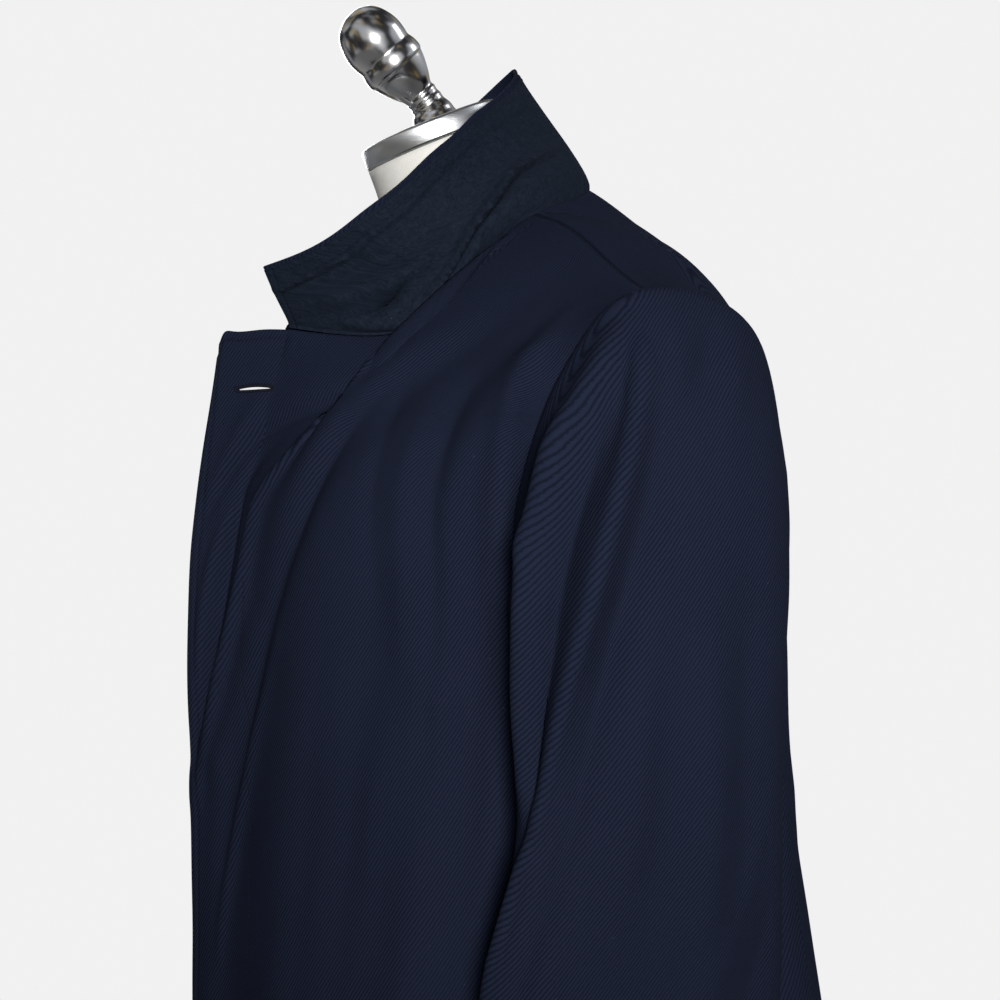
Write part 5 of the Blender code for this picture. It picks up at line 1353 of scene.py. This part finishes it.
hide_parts("form_torso")

# ---- the finial: a turned casting on a bent axis, with two beads, grooves, a ribbed stem and a flat lug
FINIAL_LEAN, SEG = 45.0, 96
PROFILE = [(0.0, 99.0), (5.5, 98.6), (11.0, 96.6), (16.6, 92.6), (20.6, 86.6), (22.9, 80.0), (23.9, 73.5), (23.6, 67.5), (23.0, 63.5), (22.7, 61.6), (23.2, 59.4),
           (24.0, 56.0), (24.2, 52.8), (23.9, 49.4), (23.3, 48.2), (22.7, 47.6), (22.3, 46.6), (20.6, 41.5), (18.2, 36.0), (15.4, 30.6), (13.0, 26.6), (12.5, 25.6), (12.2, 24.8),
           (12.3, 23.4), (12.7, 22.2), (12.5, 20.6), (12.2, 19.2), (12.5, 17.6), (12.9, 16.2), (12.8, 14.6), (13.0, 13.0), (13.9, 11.2), (15.0, 9.4), (15.8, 7.4), (16.3, 5.4),
           (17.0, 3.6), (17.6, 2.0), (17.8, 0.3)]


def finial_axis(d):
    n = 120
    t = (np.arange(n) + 0.5) * d / n
    ang = math.radians(CAP_LEAN) + math.radians(FINIAL_LEAN - CAP_LEAN) * smooth(0.0, 26.0, np.append(t, d))
    return -np.sin(ang[:-1]).sum() * d / n, np.cos(ang[:-1]).sum() * d / n, ang[-1]


lean_ = math.radians(CAP_LEAN)
foot = np.array(CAP_CENTRE) + np.array([0, -math.sin(lean_), math.cos(lean_)]) * 15.8 + np.array([0, math.cos(lean_), math.sin(lean_)]) * 7.0
pr = np.array(PROFILE)
step = np.concatenate([[0], np.cumsum(np.hypot(*np.diff(pr, axis=0).T))])
fine_at = np.linspace(0, step[-1], 190)
fine_pr = basis(step, fine_at) @ pr
verts, faces = [], []
for r, d in fine_pr[1:]:
    y, z, ang = finial_axis(max(d, 0.02))
    for k in range(SEG):
        a = 2 * math.pi * k / SEG
        verts.append((r * math.cos(a), foot[1] + y + r * math.sin(a) * math.cos(ang), foot[2] + z + r * math.sin(a) * math.sin(ang)))
rows_n = len(fine_pr) - 1
for i in range(rows_n - 1):
    for k in range(SEG):
        a, b = i * SEG + k, i * SEG + (k + 1) % SEG
        faces.append((a, a + SEG, b + SEG, b))
y, z, ang = finial_axis(99.0)
verts.append((0, foot[1] + y, foot[2] + z))
for k in range(SEG):
    faces.append((len(verts) - 1, k, (k + 1) % SEG))
faces.append(tuple((rows_n - 1) * SEG + k for k in range(SEG))[::-1])
# the lug: a flat tab that runs down beside the stem from the lower bead
base = len(verts)
y0, z0, ang0 = finial_axis(37.0)
axis_dir = np.array([0, -math.sin(ang0), math.cos(ang0)])
out_dir = np.array([0.30, -math.cos(ang0), -math.sin(ang0)])
out_dir /= np.linalg.norm(out_dir)
side_dir = np.cross(axis_dir, out_dir)
at0 = np.array([0, foot[1] + y0, foot[2] + z0])
outline = [(12.0, 2.0), (17.4, 0.0), (15.0, -9.0), (13.4, -14.6), (11.2, -16.2), (9.6, -14.8), (9.2, -4.0)]
for sgn, grow in ((-1, 0.86), (-0.8, 1.0), (0.8, 1.0), (1, 0.86)):
    mx, my = np.mean(outline, 0)
    for q, w in outline:
        verts.append(tuple(at0 + out_dir * (mx + (q - mx) * grow) + axis_dir * (my + (w - my) * grow) + side_dir * sgn * 2.6))
L = len(outline)
for j in range(3):
    for k in range(L):
        a, b = base + j * L + k, base + j * L + (k + 1) % L
        faces.append((a, b, b + L, a + L))
faces.append(tuple(base + k for k in range(L))[::-1])
faces.append(tuple(base + 3 * L + k for k in range(L)))
me = bpy.data.meshes.new("finial")
me.from_pydata((np.array(verts) * 0.001).tolist(), [], faces)
me.polygons.foreach_set("use_smooth", [i < rows_n * SEG for i in range(len(me.polygons))])
me.materials.append(nickel)
fin = bpy.data.objects.new("finial", me)
bpy.context.scene.collection.objects.link(fin)
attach(fin, "root")
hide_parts("form_finial")

# ---- the ring round the neck's top, turned with eased edges
verts, faces = [], []
RP = [(0, 15.6), (48.5, 15.6), (50.9, 15.5), (52.2, 15.1), (53.1, 14.3), (53.5, 13.2), (53.5, 8.0), (53.5, 2.0), (53.3, 1.0), (52.6, 0.3), (51.6, 0.05), (0, 0.05)]
c_ = np.array(CAP_CENTRE)
e1, e2, e3 = np.array([1, 0, 0]), np.array([0, math.cos(lean_), math.sin(lean_)]), np.array([0, -math.sin(lean_), math.cos(lean_)])
for r, h in RP[1:-1]:
    for k in range(128):
        a = 2 * math.pi * k / 128
        verts.append(tuple(c_ + e1 * r * math.cos(a) + e2 * r * math.sin(a) + e3 * h))
m_ = len(RP) - 2
for i in range(m_ - 1):
    for k in range(128):
        a, b = i * 128 + k, i * 128 + (k + 1) % 128
        faces.append((a, a + 128, b + 128, b))
faces.append(tuple(range(128)))
faces.append(tuple((m_ - 1) * 128 + k for k in range(128))[::-1])
me = bpy.data.meshes.new("neck_ring")
me.from_pydata((np.array(verts) * 0.001).tolist(), [], faces)
me.polygons.foreach_set("use_smooth", [True] * ((m_ - 1) * 128) + [False, False])
me.materials.append(ring_metal)
ring_o = bpy.data.objects.new("neck_ring", me)
bpy.context.scene.collection.objects.link(ring_o)
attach(ring_o, "root")
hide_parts("form_neck_cap")

# ---------------------------------------------------------------- sheets of cloth: cut sizes in metres and what they hang on, only listed; the loop below does nothing with them
CUTS = {
    ("front", 1): ((0.453, 1.089), 0.388, "coat_front_left"),
    ("front", -1): ((0.415, 1.077), 0.337, "coat_front_right"),
    ("back", 1): ((0.356, 1.084), 0.326, "coat_back_left"),
    ("back", -1): ((0.356, 1.084), 0.326, "coat_back_right"),
    ("top", 1): ((0.253, 0.650), 0.160, "sleeve"),
    ("top", -1): ((0.253, 0.650), 0.160, "sleeve"),
    ("under", 1): ((0.184, 0.517), 0.0825, "sleeve"),
    ("under", -1): ((0.184, 0.517), 0.0825, "sleeve"),
}
for key, (flat, area, _) in CUTS.items():
    kind, side = key

# ---------------------------------------------------------------- floor, light and camera
me = bpy.data.meshes.new("floor")
N_ = 64
me.from_pydata([(2.4 * math.cos(2 * math.pi * k / N_), 2.4 * math.sin(2 * math.pi * k / N_), -0.0005) for k in range(N_)], [], [tuple(range(N_))])
floor = bpy.data.objects.new("floor", me)
bpy.context.scene.collection.objects.link(floor)
fm, fnt, fb = new_material("floor")
fb.inputs["Base Color"].default_value = (0.80, 0.80, 0.80, 1)
fb.inputs["Roughness"].default_value = 0.7
me.materials.append(fm)


def area(name, at, look, size, power, colour=(1, 1, 1), size_y=None):
    ld = bpy.data.lights.new(name, "AREA")
    ld.energy = power
    ld.color = colour
    ld.size = size
    if size_y:
        ld.shape = "RECTANGLE"
        ld.size_y = size_y
    o = bpy.data.objects.new(name, ld)
    bpy.context.scene.collection.objects.link(o)
    o.location = at
    o.rotation_euler = (Vector(look) - Vector(at)).to_track_quat("-Z", "Y").to_euler()
    return o


def polar(az, el, r, centre=(0, 0, 1.25)):
    a, e = math.radians(az), math.radians(el)
    return (centre[0] + r * math.cos(e) * math.sin(a), centre[1] - r * math.cos(e) * math.cos(a), centre[2] + r * math.sin(e))


AIM = (0, 0, 1.25)
key = area("key", polar(75, 5, 3.0, (0.13, 0.06, 1.34)), (0.13, 0.06, 1.34), 0.75, 4.7, (1.0, 0.985, 0.965))
key.data.spread = math.radians(31.0)
area("rear_top", polar(172, 42, 3.0), AIM, 1.0, 10.0)
area("far_side", polar(-90, 20, 3.0), AIM, 1.3, 34.0)

world = bpy.data.worlds.new("studio")
bpy.context.scene.world = world
world.use_nodes = True
wn = world.node_tree
bg = wn.nodes["Background"]
tcw = wn.nodes.new("ShaderNodeTexCoord")
sepw = wn.nodes.new("ShaderNodeSeparateXYZ")
wn.links.new(tcw.outputs["Generated"], sepw.inputs[0])
rampw = wn.nodes.new("ShaderNodeValToRGB")
rampw.color_ramp.elements[0].position = 0.30
rampw.color_ramp.elements[0].color = (0.060, 0.060, 0.062, 1)
rampw.color_ramp.elements[1].position = 0.75
rampw.color_ramp.elements[1].color = (0.090, 0.090, 0.092, 1)
wn.links.new(math_node(wn, "MULTIPLY_ADD", sepw.outputs[2], 0.5, 0.5), rampw.inputs[0])
lp = wn.nodes.new("ShaderNodeLightPath")
# what polished metal mirrors: a pale studio with darker bands and a warm patch
bands = nodes_noise = noise(wn, tcw.outputs["Generated"], 1.7, 1.5)
gr = wn.nodes.new("ShaderNodeValToRGB")
gr.color_ramp.elements[0].position = 0.42
gr.color_ramp.elements[0].color = (0.020, 0.021, 0.024, 1)
gr.color_ramp.elements[1].position = 0.60
gr.color_ramp.elements[1].color = (0.52, 0.54, 0.58, 1)
wn.links.new(bands, gr.inputs[0])
warm = noise(wn, tcw.outputs["Generated"], 3.1, 1.0)
mirror = mix_colour(wn, math_node(wn, "MULTIPLY", math_node(wn, "GREATER_THAN", warm, 0.62), 0.8), gr.outputs[0], (0.42, 0.31, 0.12, 1))
wn.links.new(mix_colour(wn, lp.outputs["Is Camera Ray"], mix_colour(wn, lp.outputs["Is Glossy Ray"], rampw.outputs[0], mirror), (0.880, 0.880, 0.880, 1)), bg.inputs["Color"])
bg.inputs["Strength"].default_value = 1.0

VIEW_AZ, VIEW_D, VIEW_U, VIEW_Z = math.radians(70), 1.300, 0.028, 1.300
cam = bpy.data.cameras.new("camera")
cam.lens = 63.18
cam.sensor_width = 36
cam.clip_start, cam.clip_end = 0.05, 60
co = bpy.data.objects.new("camera", cam)
bpy.context.scene.collection.objects.link(co)
sa, ca = math.sin(VIEW_AZ), math.cos(VIEW_AZ)
co.location = (VIEW_D * sa + VIEW_U * ca, -VIEW_D * ca + VIEW_U * sa, VIEW_Z)
co.rotation_euler = (math.pi / 2, 0, VIEW_AZ)
bpy.context.scene.camera = co
bpy.context.scene.view_settings.view_transform = "Standard"
